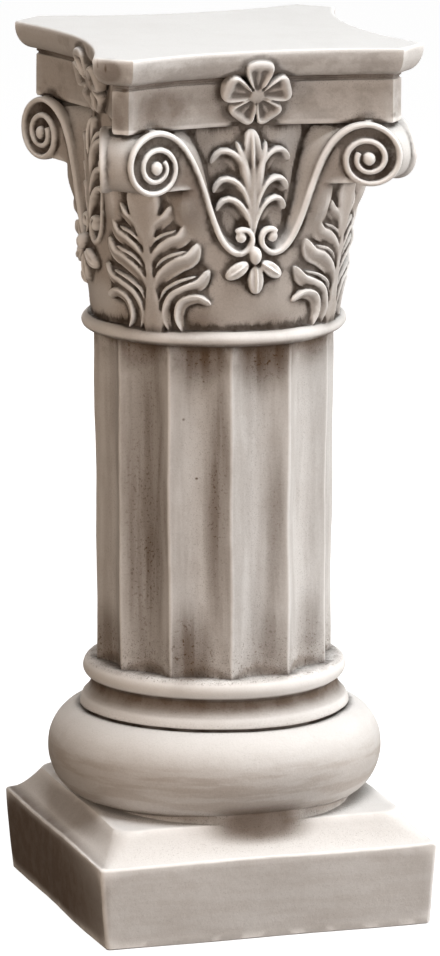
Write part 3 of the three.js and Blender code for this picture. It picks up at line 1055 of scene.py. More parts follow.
@dataclass
class Rosette:
    """The five-petalled flower in the middle of each side of the slab, leaning out with the moulding."""

    height: float = 684.0
    radius: float = 29.5
    petal_reaches: tuple[float, ...] = (1.06, 0.97, 0.85, 0.85, 0.97)
    petal_from: float = 4.0
    petal_width: float = 20.0
    petal_rise: float = 8.0
    distance: float = 104.0
    lean: float = math.radians(19.0)
    button_radius: float = 6.5
    button_rise: float = 6.0

    def _place(self, across: Array, height: Array, out: Array) -> Array:
        """Place points of the flower's own plane on the front of the slab."""
        sine, cosine = math.sin(self.lean), math.cos(self.lean)
        depth = self.distance + height * sine + out * cosine
        return stacked(across, -depth, self.height + height * cosine - out * sine)

    def build(self) -> list[Piece]:
        """Carve the front flower."""
        pieces = []
        for index, reach in enumerate(self.petal_reaches):
            turn = index * FULL_TURN / len(self.petal_reaches)
            reaches = (self.petal_from, self.radius * reach)
            line = Line([(r * math.sin(turn), r * math.cos(turn)) for r in reaches])
            petal = Carving(
                line, self.petal_width, self.petal_rise, Relief.RIMMED, root=6.0, blunt=2.5,
                taper=-1.2, lip=0.4, sides=56, rings=36,
            )
            pieces.append(petal.build("petal", self._place))
        line = Line([(0.0, -self.button_radius), (0.0, self.button_radius)])
        button = Carving(line, 2 * self.button_radius, self.button_rise, Relief.FLAT, root=5.0)
        return [*pieces, button.build("button", self._place)]


@dataclass
class TopSlab:
    """The slab: hollow sides and cut corners, a plain band, a fillet and an egg-shaped moulding."""

    bottom: float = 658.0
    fascia_half: float = 120.4
    fascia_corner: float = 10.5
    fascia_top: float = 692.5
    fillet_top: float = 697.5
    side_hollow: float = 22.0
    corner_growth: float = 0.877
    moulding: float = 17.3
    moulding_top: float = 716.0
    egg_foot: float = 2.0
    lip: float = 1.5
    lip_share: float = 0.4
    foot_inset: float = 1.2
    band_margins: Pair = (2.0, 0.8)
    groove: tuple[Pair, ...] = ((-0.4, 0.0), (-1.6, 0.8), (-1.6, 1.8), (-0.2, 2.6))
    fillet_edge: tuple[Pair, ...] = ((0.0, -1.4), (-0.6, -0.4))
    top_insets: tuple[float, ...] = (4.0, 9.0, 18.0)
    band_rows: int = 8
    egg_rows: int = 10
    side_points: int = 44
    corner_points: int = 5

    def _ring(self, projection: float, height: float) -> Array:
        """Return one level of the slab.

        Args:
            projection: How far it stands out beyond the plain band.
            height: Its height.

        Returns:
            The level's points.
        """
        half = self.fascia_half + projection
        reach = half - self.fascia_corner - self.corner_growth * projection
        across = np.linspace(-reach, reach, self.side_points)
        side = np.stack([across, -(half - self.side_hollow * (1.0 - (across / reach) ** 2))], axis=1)
        corner, _ = cut_corner(side, self.corner_points)
        plan = four_sides(np.vstack([side, corner]))
        return stacked(plan[:, 0], plan[:, 1], height)

    def build(self) -> Piece:
        """Loft the slab through its levels."""
        egg = [
            (self.egg_foot + (self.moulding - self.egg_foot) * math.sin(angle),
             self.fillet_top + (self.moulding_top - self.fillet_top) * (1.0 - math.cos(angle)))
            for angle in np.linspace(0.0, QUARTER_TURN, self.egg_rows)
        ]
        under, over = self.band_margins
        rows = np.linspace(self.bottom + under, self.fascia_top - over, self.band_rows)
        rounding = self.lip_share * self.lip
        profile = [
            (-self.foot_inset, self.bottom),
            *((0.0, height) for height in rows),
            *((out, self.fascia_top + up) for out, up in self.groove),
            *((out, self.fillet_top + up) for out, up in self.fillet_edge),
            *egg,
            (self.moulding, HEIGHT - self.lip),
            (self.moulding - rounding, HEIGHT - rounding),
            *((self.moulding - inset, HEIGHT) for inset in (self.lip, *self.top_insets)),
        ]
        return lofted("slab", np.stack([self._ring(projection, height) for projection, height in profile]))


@dataclass
class Casting:
    """The whole column, fused from its parts as one closed mesh."""

    name: str = "column_casting"
    node: str = "column"
    slot: str = "resin"
    body: str = "root"
    carving_voxel: float = 0.85
    quick_voxel: float = 1.6
    carving_triangles: int = 105_000
    soften: int = 2
    soften_share: float = 0.5
    longest_edge: float = 9.0
    longest_carved: float = 6.0
    wave: float = 0.45
    ripple: float = 0.07
    flat_reach: float = 15.0
    smooth_angle: float = math.radians(40.0)

    def _carved_bell(self) -> Piece:
        """Carve the bell with its scrolls, sprigs, pendants, corner leaves and rosettes."""
        bell = Bell()
        scrolls = Scrolls(bell)
        body = bell.build()
        for cutter in on_every_side(scrolls.field_cutter(), 0.0):
            boolean(body, cutter, Joint.DIFFERENCE)
        centred = [*scrolls.build(), *Rosette().build()]
        turned = [*Sprig(bell).build(), *Pendant(bell).build(), *CornerLeaf(bell).build()]
        parts = [body, bell.build_core()]
        for group, axis_x in ((centred, 0.0), (turned, TURNED_SHIFT)):
            for piece in group:
                parts.extend(on_every_side(piece, axis_x))
        carved = gathered(parts, "carved_bell")
        voxel = self.carving_voxel
        apply_modifier(carved, "REMESH", mode="VOXEL", voxel_size=voxel)
        apply_modifier(carved, "SMOOTH", factor=self.soften_share, iterations=self.soften)
        share = self.carving_triangles / (2 * len(carved.data.polygons))
        if share < 1.0:
            apply_modifier(carved, "DECIMATE", ratio=share)
        LOG.info("carved bell: %d faces", len(carved.data.polygons))
        return carved

    def build(self) -> Piece:
        """Model all parts and fuse them into the finished piece, in millimetres."""
        whole = Plinth().build()
        base = RoundBase()
        turned = [base.build_neck(), base.build(), FlutedShaft().build(), Bell().build_ring()]
        others = [*turned, TopSlab().build()]
        for other in (*others, self._carved_bell()):
            part = other.name
            boolean(whole, other, Joint.UNION)
            LOG.info("%s joined: %d vertices", part, len(whole.data.vertices))
        divide_long_edges(whole, self.longest_edge, WELD, HEIGHT - WELD)
        divide_long_edges(whole, self.longest_carved, Bell.foot, Bell.top)
        move_points(whole, self._uneven(points_of(whole)))
        whole.name = self.name
        whole.data.name = self.name
        return whole

    def _uneven(self, points: Array) -> Array:
        """Give points the slight waviness of a hand-made mould, within the casting's own box.

        Args:
            points: The casting's points.

        Returns:
            The moved points, with the floor and the top left flat.
        """
        x, y, z = points.T
        # Wave lengths that don't divide each other, so that no pattern repeats.
        slow = [
            np.sin(y / 31.0 + z / 47.0) + 0.7 * np.sin(z / 19.0 - y / 23.0 + 2.0),
            np.sin(x / 29.0 - z / 43.0 + 1.0) + 0.7 * np.sin(z / 17.0 + x / 21.0),
            np.sin(x / 37.0 + y / 33.0 + 0.5),
        ]
        quick = [np.sin((y + z) / 5.3), np.sin((x - z) / 4.9), np.sin((x + y) / 5.7)]
        moved = points + (self.wave * np.array(slow) + self.ripple * np.array(quick)).T
        flat = smoothstep(0.0, self.flat_reach, z) * smoothstep(HEIGHT, HEIGHT - self.flat_reach, z)
        moved[:, 2] = z + (moved[:, 2] - z) * flat
        return np.clip(moved, points.min(axis=0), points.max(axis=0))

    def stand(self, piece: Piece, finish: bpy.types.Material) -> None:
        """Bring the piece to metres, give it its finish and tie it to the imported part.

        Args:
            piece: The modelled casting.
            finish: Its material.
        """
        piece.data.transform(Matrix.Scale(MILLIMETRE, 4))
        piece.data.materials.clear()
        piece.data.materials.append(finish)
        take_up(piece)
        bpy.ops.object.shade_smooth_by_angle(angle=self.smooth_angle)
        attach(piece, self.body)
        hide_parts(self.node)


@dataclass
class WearMap:
    """Measures where the casting is hollow and where it stands proud, as masks for the finish.

    Attributes:
        pitch: The size of a cell of the grid.
        quick_pitch: The same at quick detail; not used.
        margin: How far the grid goes beyond the casting.
        fine_reach: The blur that finds hollows and crests.
        broad_reach: The blur that finds sheltered places.
        fine_gain: How strongly hollows and crests show.
        broad_gain: How strongly shelter shows.
        shell: How many cells to either side of the surface hold distances.
        passes: Running means for each blur.
        evening: How often values are evened out between neighbours.
    """

    pitch: float = 1.25
    quick_pitch: float = 2.4
    margin: float = 30.0
    fine_reach: float = 1.8
    broad_reach: float = 6.0
    fine_gain: float = 4.0
    broad_gain: float = 2.0
    shell: float = 3.0
    passes: int = 3
    evening: int = 3

    def measure(self, piece: Piece) -> None:
        """Store the masks hollow, crest, shelter and upward on the piece's points.

        Args:
            piece: The finished casting, in millimetres.
        """
        pitch = self.pitch
        points = points_of(piece)
        low = points.min(axis=0) - self.margin
        counts = np.ceil((points.max(axis=0) + self.margin - low) / pitch).astype(int)
        filled = self._filled(piece, low, counts, pitch)
        places = (points - low) / pitch - 0.5
        fine = self._sampled(self._blurred(filled, self.fine_reach / pitch), places)
        broad = self._sampled(self._blurred(filled, self.broad_reach / pitch), places)
        self._store(piece, "hollow", np.clip((fine - 0.5) * self.fine_gain, 0.0, 1.0))
        self._store(piece, "crest", np.clip((0.5 - fine) * self.fine_gain, 0.0, 1.0))
        self._store(piece, "shelter", np.clip(0.5 + (broad - 0.5) * self.broad_gain, 0.0, 1.0))
        facing = np.empty(points.size, dtype=np.float32)
        piece.data.vertices.foreach_get("normal", facing)
        self._store(piece, "upward", np.clip(facing.reshape(-1, 3)[:, 2], 0.0, 1.0))

    def _filled(self, piece: Piece, low: Array, counts: Array, pitch: float) -> Array:
        """Return how much of each cell of a grid the casting fills, from its distance to the surface.

        Args:
            piece: The casting, all in triangles.
            low: The grid's lowest corner.
            counts: Cells along each axis.
            pitch: The size of a cell.

        Returns:
            The grid, 0 outside and 1 inside.
        """
        corners = np.empty(3 * len(piece.data.polygons), dtype=np.int32)
        piece.data.loops.foreach_get("vertex_index", corners)
        moved = ((points_of(piece) - low) / pitch - 0.5).astype(np.float32)
        level = openvdb.FloatGrid.createLevelSetFromPolygons(
            moved, triangles=corners.reshape(-1, 3), halfWidth=self.shell
        )
        distance = np.full(counts, level.background, dtype=np.float32)
        level.copyToArray(distance)
        return np.clip(0.5 - distance, 0.0, 1.0)

    def _blurred(self, grid: Array, reach: float) -> Array:
        """Return the grid blurred over a reach in cells, by running means along each axis."""
        half = max(int(round((math.sqrt(4.0 * reach**2 + 1.0) - 1.0) / 2.0)), 1)
        for axis, count in enumerate(grid.shape):
            upper = np.minimum(np.arange(count) + half, count - 1)
            lower = np.maximum(np.arange(count) - half - 1, 0)
            for _ in range(self.passes):
                total = np.cumsum(grid, axis=axis, dtype=np.float32)
                run = np.take(total, upper, axis=axis) - np.take(total, lower, axis=axis)
                grid = run / (2 * half + 1)
        return grid

    def _sampled(self, grid: Array, places: Array) -> Array:
        """Return the grid's values at places in cells, evened out between the cells."""
        base = np.floor(places).astype(int)
        part = places - base
        value = np.zeros(len(places))
        for corner in np.ndindex(2, 2, 2):
            weight = np.prod(np.where(corner, part, 1.0 - part), axis=1)
            value += weight * grid[tuple((base + corner).T)]
        return value

    def _store(self, piece: Piece, name: str, values: Array) -> None:
        """Keep one value for each point of the piece, evened out with its neighbours, as an attribute."""
        first, second = edge_ends(piece).T
        count = len(values)
        beside = np.bincount(first, minlength=count) + np.bincount(second, minlength=count)
        for _ in range(self.evening):
            total = np.bincount(first, values[second], count) + np.bincount(second, values[first], count)
            values = 0.5 * values + 0.5 * total / np.maximum(beside, 1)
        attribute = piece.data.attributes.new(name, "FLOAT", "POINT")
        attribute.data.foreach_set("value", values.astype(np.float32))


# Finishes


Triple = tuple[float, float, float]
Colour = Triple
Socket = bpy.types.NodeSocket

SOFT_EDGE = 0.003  # metres over which a zone of the finish fades out


class Graph:
    """Adds and links the nodes of one material or group."""

    def __init__(self, tree: bpy.types.NodeTree) -> None:
        """Work on one node tree."""
        self.tree = tree

    def add(self, kind: str, inputs: dict[str | int, object], **settings: object) -> bpy.types.Node:
        """Add a node.

        Args:
            kind: The node's full type name.
            inputs: Sockets to link from, or plain values, by input.
            settings: The node's own properties.

        Returns:
            The new node.
        """
        node = self.tree.nodes.new(kind)
        for name, value in settings.items():
            setattr(node, name, value)
        for key, value in inputs.items():
            if isinstance(value, Socket):
                self.tree.links.new(value, node.inputs[key])
            else:
                node.inputs[key].default_value = value
        return node

    def math(self, operation: str, first: object, second: object = 0.0) -> Socket:
        """Return the result of a clamp-free sum, product or the like of two values."""
        return self.add("ShaderNodeMath", {0: first, 1: second}, operation=operation).outputs[0]

    def times(self, *values: object) -> Socket:
        """Return the product of values."""
        return reduce(partial(self.math, "MULTIPLY"), values)

    def most(self, *values: object) -> Socket:
        """Return the largest of values."""
        return reduce(partial(self.math, "MAXIMUM"), values)

    def rest(self, value: Socket) -> Socket:
        """Return what a share leaves of 1."""
        return self.math("SUBTRACT", 1.0, value)

    def ramp(self, value: Socket, low: float, high: float, start: float = 0.0, end: float = 1.0) -> Socket:
        """Return a value that goes smoothly from start to end while the given one goes from low to high."""
        inputs = {"Value": value, "From Min": low, "From Max": high, "To Min": start, "To Max": end}
        return self.add("ShaderNodeMapRange", inputs, interpolation_type="SMOOTHSTEP").outputs["Result"]

    def band(self, value: Socket, low: float, high: float, soft: float = SOFT_EDGE) -> Socket:
        """Return a mask that is 1 from low to high and fades out beyond."""
        return self.times(self.ramp(value, low - soft, low), self.ramp(value, high + soft, high))

    def vector(self, operation: str, *values: object) -> bpy.types.NodeOutputs:
        """Return the outputs of a product, quotient or the like of vectors."""
        return self.add("ShaderNodeVectorMath", dict(enumerate(values)), operation=operation).outputs

    def mix(self, share: object, first: object, second: object, blend: str = "MIX") -> Socket:
        """Return a blend of two colours."""
        node = self.add("ShaderNodeMix", {}, data_type="RGBA", blend_type=blend)
        sockets = {"Factor_Float": share, "A_Color": first, "B_Color": second}
        for socket in node.inputs:
            value = sockets.get(socket.identifier)
            if isinstance(value, Socket):
                self.tree.links.new(value, socket)
            elif value is not None:
                socket.default_value = (*value, 1.0) if isinstance(value, tuple) else value
        return next(socket for socket in node.outputs if socket.identifier == "Result_Color")


class EffectGroup:
    """An effect that materials share, as a node group with named sockets."""

    KINDS = {float: "NodeSocketFloat", Vector: "NodeSocketVector"}

    def __init__(self, name: str, inputs: dict[str, type], outputs: dict[str, type]) -> None:
        """Make the group and its sockets.

        Args:
            name: The group's name.
            inputs: The kind of each input.
            outputs: The kind of each output.
        """
        self.tree = bpy.data.node_groups.new(name, "ShaderNodeTree")
        for label, kind in inputs.items():
            self.tree.interface.new_socket(label, in_out="INPUT", socket_type=self.KINDS[kind])
        for label, kind in outputs.items():
            self.tree.interface.new_socket(label, in_out="OUTPUT", socket_type=self.KINDS[kind])
        self.graph = Graph(self.tree)
        self.inputs = self.tree.nodes.new("NodeGroupInput").outputs
        self.results = self.tree.nodes.new("NodeGroupOutput").inputs

    def put_out(self, **results: Socket) -> bpy.types.NodeTree:
        """Link the group's outputs and return the finished tree."""
        for name, socket in results.items():
            self.tree.links.new(socket, self.results[name])
        return self.tree


def cast_grain() -> bpy.types.NodeTree:
    """Build the group for the fine uneven surface of cast and rubbed resin.

    Returns:
        A group with Vector and Size in, Tone and Specks out.
    """
    group = EffectGroup("cast_grain", {"Vector": Vector, "Size": float}, {"Tone": float, "Specks": float})
    graph = group.graph
    scale = graph.math("DIVIDE", 1.0, group.inputs["Size"])
    place = group.inputs["Vector"]
    soft = {"Vector": place, "Scale": scale, "Detail": 5.0, "Roughness": 0.6}
    cloud = graph.add("ShaderNodeTexNoise", soft)
    sharp = {"Vector": place, "Scale": graph.times(scale, 1.7), "Detail": 2.0}
    spot = graph.add("ShaderNodeTexNoise", sharp)
    tone = graph.ramp(cloud.outputs[0], 0.3, 0.7)
    return group.put_out(Tone=tone, Specks=graph.ramp(spot.outputs[0], 0.58, 0.68))


def drawn_streaks() -> bpy.types.NodeTree:
    """Build the group for stains and brush strokes that are drawn out along one direction.

    Returns:
        A group with Vector, Draw and Size in, Streaks out. Draw scales the place along each axis.
    """
    inputs = {"Vector": Vector, "Draw": Vector, "Size": float}
    group = EffectGroup("drawn_streaks", inputs, {"Streaks": float})
    graph = group.graph
    drawn = graph.vector("MULTIPLY", group.inputs["Vector"], group.inputs["Draw"])[0]
    scale = graph.math("DIVIDE", 1.0, group.inputs["Size"])
    noise = {"Vector": drawn, "Scale": scale, "Detail": 4.0, "Roughness": 0.55}
    streak = graph.add("ShaderNodeTexNoise", noise)
    return group.put_out(Streaks=graph.ramp(streak.outputs[0], 0.36, 0.66))


@dataclass(frozen=True)
class SoftPatch:
    """A soft patch at one place of the casting; such patches carry grime, painted shade and painted light.

    Attributes:
        centre: Its middle, in metres.
        reach: How far it spreads along each axis.
        strength: How strong it is at its middle.
        core: The share of its reach within which it is full.
    """

    centre: Triple
    reach: Triple
    strength: float
    core: float = 0.2

    def mask(self, graph: Graph, place: Socket) -> Socket:
        """Add the nodes for the patch.

        Args:
            graph: The material's graph.
            place: Object coordinates.

        Returns:
            Its share at each place.
        """
        away = graph.vector("SUBTRACT", place, self.centre)[0]
        scaled = graph.vector("DIVIDE", away, self.reach)[0]
        length = graph.vector("LENGTH", scaled)["Value"]
        return graph.ramp(length, 1.0, self.core, 0.0, self.strength)


@dataclass(frozen=True)
class Signs:
    """What the finish reads at each place: where it is, its wear masks, noises and zones."""

    graph: Graph
    place: Socket
    height: Socket
    hollow: Socket
    crest: Socket
    shelter: Socket
    upward: Socket
    cloud: Socket
    blotches: Socket
    spatter: Socket
    grain: Socket
    specks: Socket
    running: Socket
    strokes: Socket
    in_bell: Socket
    on_shaft: Socket
    on_slab: Socket
    over_foot: Socket


@dataclass(frozen=True)
class AntiquedResin:
    """Pale matte resin with a brown wash in its hollows, dry-brushed edges and patches of grime, with
    painted top light on faces that look up, and painted shade and light in the scotia, the torus's belt and
    a few patches.
    """

    ground: Colour = (0.45, 0.41, 0.378)
    pale: Colour = (0.66, 0.655, 0.65)
    painted_top_light: Colour = (0.71, 0.705, 0.70)
    bright: Colour = (0.90, 0.895, 0.89)
    wash: Colour = (0.050, 0.037, 0.028)
    soil: Colour = (0.105, 0.064, 0.036)
    roughness: Pair = (0.66, 0.82)
    shine: float = 0.28
    bump_strength: float = 0.25
    bump_distance: float = 0.0003
    bump_shares: Pair = (0.4, 2.5)  # of the fine grain and the clouds
    blotch_shares: Pair = (0.6, 0.4)  # of the mottle and the clouds
    mottle_size: float = 0.075
    cloud_size: float = 0.016
    grain_size: float = 0.0016
    spatter_size: float = 0.004
    streak_size: float = 0.011
    stroke_size: float = 0.007
    rain_draw: Triple = (1.0, 1.0, 0.09)
    stroke_draw: Triple = (0.12, 0.12, 1.0)
    bell_ground: float = 0.9
    fascia_ground: float = 0.6
    astragal_bright: float = 0.55
    drip_share: float = 0.55
    spatter_share: float = 0.7
    rain_share: float = 0.2
    shelter_wash: float = 0.36
    slab_wash: float = 0.6
    brush_held: Triple = (0.3, 0.1, 0.5)  # on the shaft, in the bell and on the slab
    grain_tone: float = 0.05
    shaft_foot: float = 0.205
    shaft_top: float = 0.482
    stain_reach: float = 0.055
    bell_foot: float = 0.493
    bell_top: float = 0.660
    fascia_top: float = 0.692
    scotia_foot: float = 0.1765
    scotia_top: float = 0.190
    scotia_full: float = 0.185
    belt_foot: float = 0.094
    belt_top: float = 0.132
    fascia_soft: float = 0.016
    belt_soft: float = 0.014
    neck_line: Pair = (0.093, 0.099)
    dark_patches: tuple[SoftPatch, ...] = (
        # Left face of the plinth and the cove above it, darkened: painted shade, with some grime.
        SoftPatch((-0.1405, 0.06, 0.02), (0.010, 0.34, 0.12), 0.86, 0.3),
        SoftPatch((-0.126, 0.0, 0.083), (0.016, 0.12, 0.018), 0.42, 0.4),
        # Flutes darker than the others.
        SoftPatch((-0.078, -0.053, 0.345), (0.026, 0.035, 0.18), 0.52, 0.5),
        SoftPatch((-0.073, -0.054, 0.292), (0.014, 0.025, 0.085), 0.72),
        SoftPatch((-0.027, -0.088, 0.36), (0.015, 0.02, 0.16), 0.6),
        SoftPatch((0.022, -0.090, 0.33), (0.012, 0.02, 0.13), 0.35),
        # Flute feet.
        SoftPatch((-0.095, 0.0, 0.225), (0.03, 0.04, 0.04), 0.55),
        SoftPatch((-0.050, -0.081, 0.226), (0.026, 0.02, 0.055), 0.78),
        SoftPatch((0.016, -0.090, 0.230), (0.024, 0.02, 0.055), 0.42),
        SoftPatch((0.056, -0.068, 0.240), (0.02, 0.03, 0.045), 0.42),
        # Flute tops.
        SoftPatch((-0.080, -0.048, 0.478), (0.026, 0.034, 0.04), 0.8),
        SoftPatch((-0.040, -0.085, 0.478), (0.034, 0.024, 0.05), 0.9),
        SoftPatch((0.012, -0.089, 0.478), (0.034, 0.024, 0.05), 0.95),
        SoftPatch((0.062, -0.072, 0.478), (0.02, 0.024, 0.03), 0.6),
        # Neck under the torus, made brown: painted shade under the torus, with some wash.
        SoftPatch((-0.002, -0.126, 0.093), (0.058, 0.012, 0.024), 0.75, 0.4),
        # Brown patches on the capital.
        SoftPatch((-0.057, -0.111, 0.610), (0.034, 0.02, 0.055), 0.66),
        SoftPatch((0.057, -0.111, 0.610), (0.034, 0.02, 0.055), 0.4),
        SoftPatch((-0.08, -0.110, 0.676), (0.045, 0.02, 0.024), 0.55),
        # The cut front left corner of the slab, darkened as painted shade.
        SoftPatch((-0.1285, -0.1215, 0.7100), (0.016, 0.016, 0.012), 0.5, 0.6),
        SoftPatch((-0.1155, -0.1165, 0.6760), (0.012, 0.012, 0.022), 0.36, 0.5),
        # Pits in the flutes.
        SoftPatch((-0.0373, -0.0829, 0.4496), (0.0020, 0.005, 0.0020), 1.0),
        SoftPatch((-0.0528, -0.0786, 0.4187), (0.0018, 0.005, 0.0018), 0.9),
        SoftPatch((-0.0425, -0.0802, 0.3700), (0.0018, 0.005, 0.0018), 1.0),
        # Scratch, chip and crumbs on the slab.
        SoftPatch((-0.1292, -0.1195, 0.7130), (0.0022, 0.004, 0.008), 1.0),
        SoftPatch((-0.1345, -0.1150, 0.7150), (0.0016, 0.004, 0.006), 0.9),
        SoftPatch((-0.1124, -0.1164, 0.6931), (0.005, 0.005, 0.003), 0.7),
        SoftPatch((0.1111, -0.1192, 0.6641), (0.005, 0.005, 0.003), 0.6),
        SoftPatch((0.0310, -0.1002, 0.6803), (0.0017, 0.004, 0.0017), 0.5),
    )
    pale_patches: tuple[SoftPatch, ...] = (
        # The right front roll, rubbed paler than the rest; the lower left of the bell, made paler; and
        # painted light in the field beside the roll, where the band and the slab shade it.
        SoftPatch((0.125, -0.125, 0.630), (0.030, 0.030, 0.034), 1.0, 0.6),
        SoftPatch((0.034, -0.095, 0.645), (0.022, 0.020, 0.018), 0.8),
        SoftPatch((-0.105, -0.020, 0.512), (0.022, 0.050, 0.022), 0.8),
    )

    def build(self, grain: bpy.types.NodeTree, streaks: bpy.types.NodeTree) -> bpy.types.Material:
        """Build the material.

        Args:
            grain: The cast grain group.
            streaks: The drawn streaks group.

        Returns:
            The finished material.
        """
        material = bpy.data.materials.new("antiqued_resin")
        material.use_nodes = True
        graph = Graph(material.node_tree)
        signs = self._signs(graph, grain, streaks)
        colour = self._pale_and_lit_ground(signs)
        for layer in (self._stains, self._grime_and_shade, self._wash, self._dry_brushed):
            colour = layer(signs, colour)
        self._surface(signs, colour, material.node_tree.nodes["Principled BSDF"])
        return material

    def _signs(self, graph: Graph, grain: bpy.types.NodeTree, streaks: bpy.types.NodeTree) -> Signs:
        """Add the nodes that read the casting.

        Args:
            graph: The material's graph.
            grain: The cast grain group.
            streaks: The drawn streaks group.

        Returns:
            All that the layers of the finish go by.
        """
        place = graph.add("ShaderNodeTexCoord", {}).outputs["Object"]
        height = graph.add("ShaderNodeSeparateXYZ", {0: place}).outputs["Z"]
        masks = {
            name: graph.add("ShaderNodeAttribute", {}, attribute_name=name).outputs["Fac"]
            for name in ("hollow", "crest", "shelter", "upward")
        }
        mottle, cloud, spatter, fine = (
            graph.add("ShaderNodeGroup", {"Vector": place, "Size": size}, node_tree=grain)
            for size in (self.mottle_size, self.cloud_size, self.spatter_size, self.grain_size)
        )
        running, strokes = (
            graph.add("ShaderNodeGroup", {"Vector": place, "Draw": draw, "Size": size}, node_tree=streaks)
            for draw, size in ((self.rain_draw, self.streak_size), (self.stroke_draw, self.stroke_size))
        )
        mottled, clouded = (
            graph.times(noise.outputs["Tone"], share)
            for noise, share in zip((mottle, cloud), self.blotch_shares)
        )
        return Signs(
            graph=graph,
            place=place,
            height=height,
            **masks,
            cloud=cloud.outputs["Tone"],
            blotches=graph.math("ADD", mottled, clouded),
            spatter=spatter.outputs["Specks"],
            grain=fine.outputs["Tone"],
            specks=fine.outputs["Specks"],
            running=running.outputs["Streaks"],
            strokes=strokes.outputs["Streaks"],
            in_bell=graph.band(height, self.bell_foot, self.bell_top),
            on_shaft=graph.band(height, self.shaft_foot, self.shaft_top),
            on_slab=graph.ramp(height, self.bell_top, self.bell_top + SOFT_EDGE),
            over_foot=graph.ramp(height, self.shaft_foot + self.stain_reach, self.shaft_foot),
        )

    def _pale_and_lit_ground(self, signs: Signs) -> Socket:
        """Rub the brown ground pale, less in the carved bell, on the slab's band and in sheltered places,
        add the pale patches, paint top light on faces that look up and brighten the astragal.

        Args:
            signs: What the finish goes by.

        Returns:
            The colour before stains and wash.
        """
        graph = signs.graph
        in_fascia = graph.band(signs.height, self.bell_top, self.fascia_top, self.fascia_soft)
        carved = graph.most(
            graph.times(signs.in_bell, self.bell_ground), graph.times(in_fascia, self.fascia_ground)
        )
        carved = graph.times(carved, graph.ramp(signs.shelter, 0.36, 0.47, 0.55, 1.0))
        kept = graph.most(carved, graph.ramp(signs.shelter, 0.62, 0.80))
        # The belt on the lower half of the torus keeps its brown ground in brush strokes: wash, and painted
        # shade on the half that faces down.
        in_belt = graph.band(signs.height, self.belt_foot, self.belt_top, self.belt_soft)
        kept = graph.most(kept, graph.times(in_belt, graph.ramp(signs.strokes, 0.0, 1.0, 0.35, 0.75)))
        rubbed = graph.times(graph.rest(kept), graph.ramp(signs.blotches, 0.1, 0.9, 0.8, 1.0))
        stroked = graph.times(signs.strokes, graph.rest(signs.on_shaft))
        rubbed = graph.times(rubbed, graph.ramp(stroked, 0.0, 1.0, 1.0, 0.82))
        # Pale patches, one of them painted light in the field beside the right front roll.
        rubbed = graph.most(rubbed, *(pale_patch.mask(graph, signs.place) for pale_patch in self.pale_patches))
        colour = graph.mix(rubbed, self.ground, self.pale)
        # Painted top light: faces that look up are made paler, as light from above makes them.
        uneven = graph.ramp(signs.blotches, 0.0, 0.8, 0.75, 1.0)
        top_light_share = graph.times(graph.ramp(signs.upward, 0.15, 0.7), uneven)
        colour = graph.mix(top_light_share, colour, self.painted_top_light)
        on_astragal = graph.band(signs.height, self.scotia_top, self.shaft_foot)
        return graph.mix(graph.times(on_astragal, self.astragal_bright), colour, self.bright)

    def _stains(self, signs: Signs, colour: Socket) -> Socket:
        """Soil both ends of the flutes, drawn down by rain above and spattered below, and darken the scotia
        with grime and painted shade, most at its top under the astragal.

        Args:
            signs: What the finish goes by.
            colour: The colour so far.

        Returns:
            The colour with this layer.
        """
        graph = signs.graph
        height, cloud = signs.height, signs.cloud
        under_ring = graph.ramp(height, self.shaft_top - self.stain_reach, self.shaft_top)
        smoke = graph.times(under_ring, under_ring, graph.ramp(cloud, 0.0, 0.8, 0.3, 0.7))
        drips = graph.times(under_ring, signs.running, self.drip_share)
        spots = graph.times(signs.spatter, self.spatter_share)
        foot = graph.times(signs.over_foot, graph.most(spots, graph.ramp(cloud, 0.0, 1.0, 0.1, 0.4)))
        stain = graph.most(smoke, drips, foot, graph.times(signs.running, self.rain_share))
        colour = graph.mix(graph.times(stain, signs.on_shaft), colour, self.soil)
        # The scotia: grime, and painted shade that grows towards its top, under the astragal.
        in_scotia = graph.times(
            graph.ramp(height, self.scotia_foot - SOFT_EDGE, self.scotia_full, 0.3, 1.0),
            graph.band(height, self.scotia_foot, self.scotia_top),
        )
        scotia_darkening = graph.ramp(cloud, 0.0, 1.0, 0.74, 0.88)
        return graph.mix(graph.times(in_scotia, scotia_darkening), colour, self.soil)

    def _grime_and_shade(self, signs: Signs, colour: Socket) -> Socket:
        """Add the patches of grime and of painted shade, streaked on the shaft, and the aged sides of the
        slab.

        Args:
            signs: What the finish goes by.
            colour: The colour so far.

        Returns:
            The colour with this layer.
        """
        graph = signs.graph
        # Patches of grime, and painted shade on the plinth's left face, the neck under the torus and the
        # slab's cut front left corner.
        grime = graph.most(*(dark_patch.mask(graph, signs.place) for dark_patch in self.dark_patches))
        even = graph.times(graph.rest(signs.on_shaft), graph.ramp(signs.cloud, 0.0, 1.0, 0.6, 0.85))
        streaked = graph.math("ADD", graph.times(signs.on_shaft, signs.running), even)
        speckled = graph.ramp(graph.times(signs.spatter, signs.on_shaft), 0.0, 1.0, 1.0, 1.4)
        uneven = graph.times(graph.ramp(streaked, 0.0, 1.0, 0.75, 1.05), speckled)
        colour = graph.mix(graph.times(grime, uneven), colour, self.soil)
        stale = graph.ramp(signs.blotches, 0.35, 0.8, 0.0, 0.3)
        aged = graph.times(signs.on_slab, stale, graph.ramp(signs.upward, 0.3, 0.0))
        return graph.mix(aged, colour, self.soil)

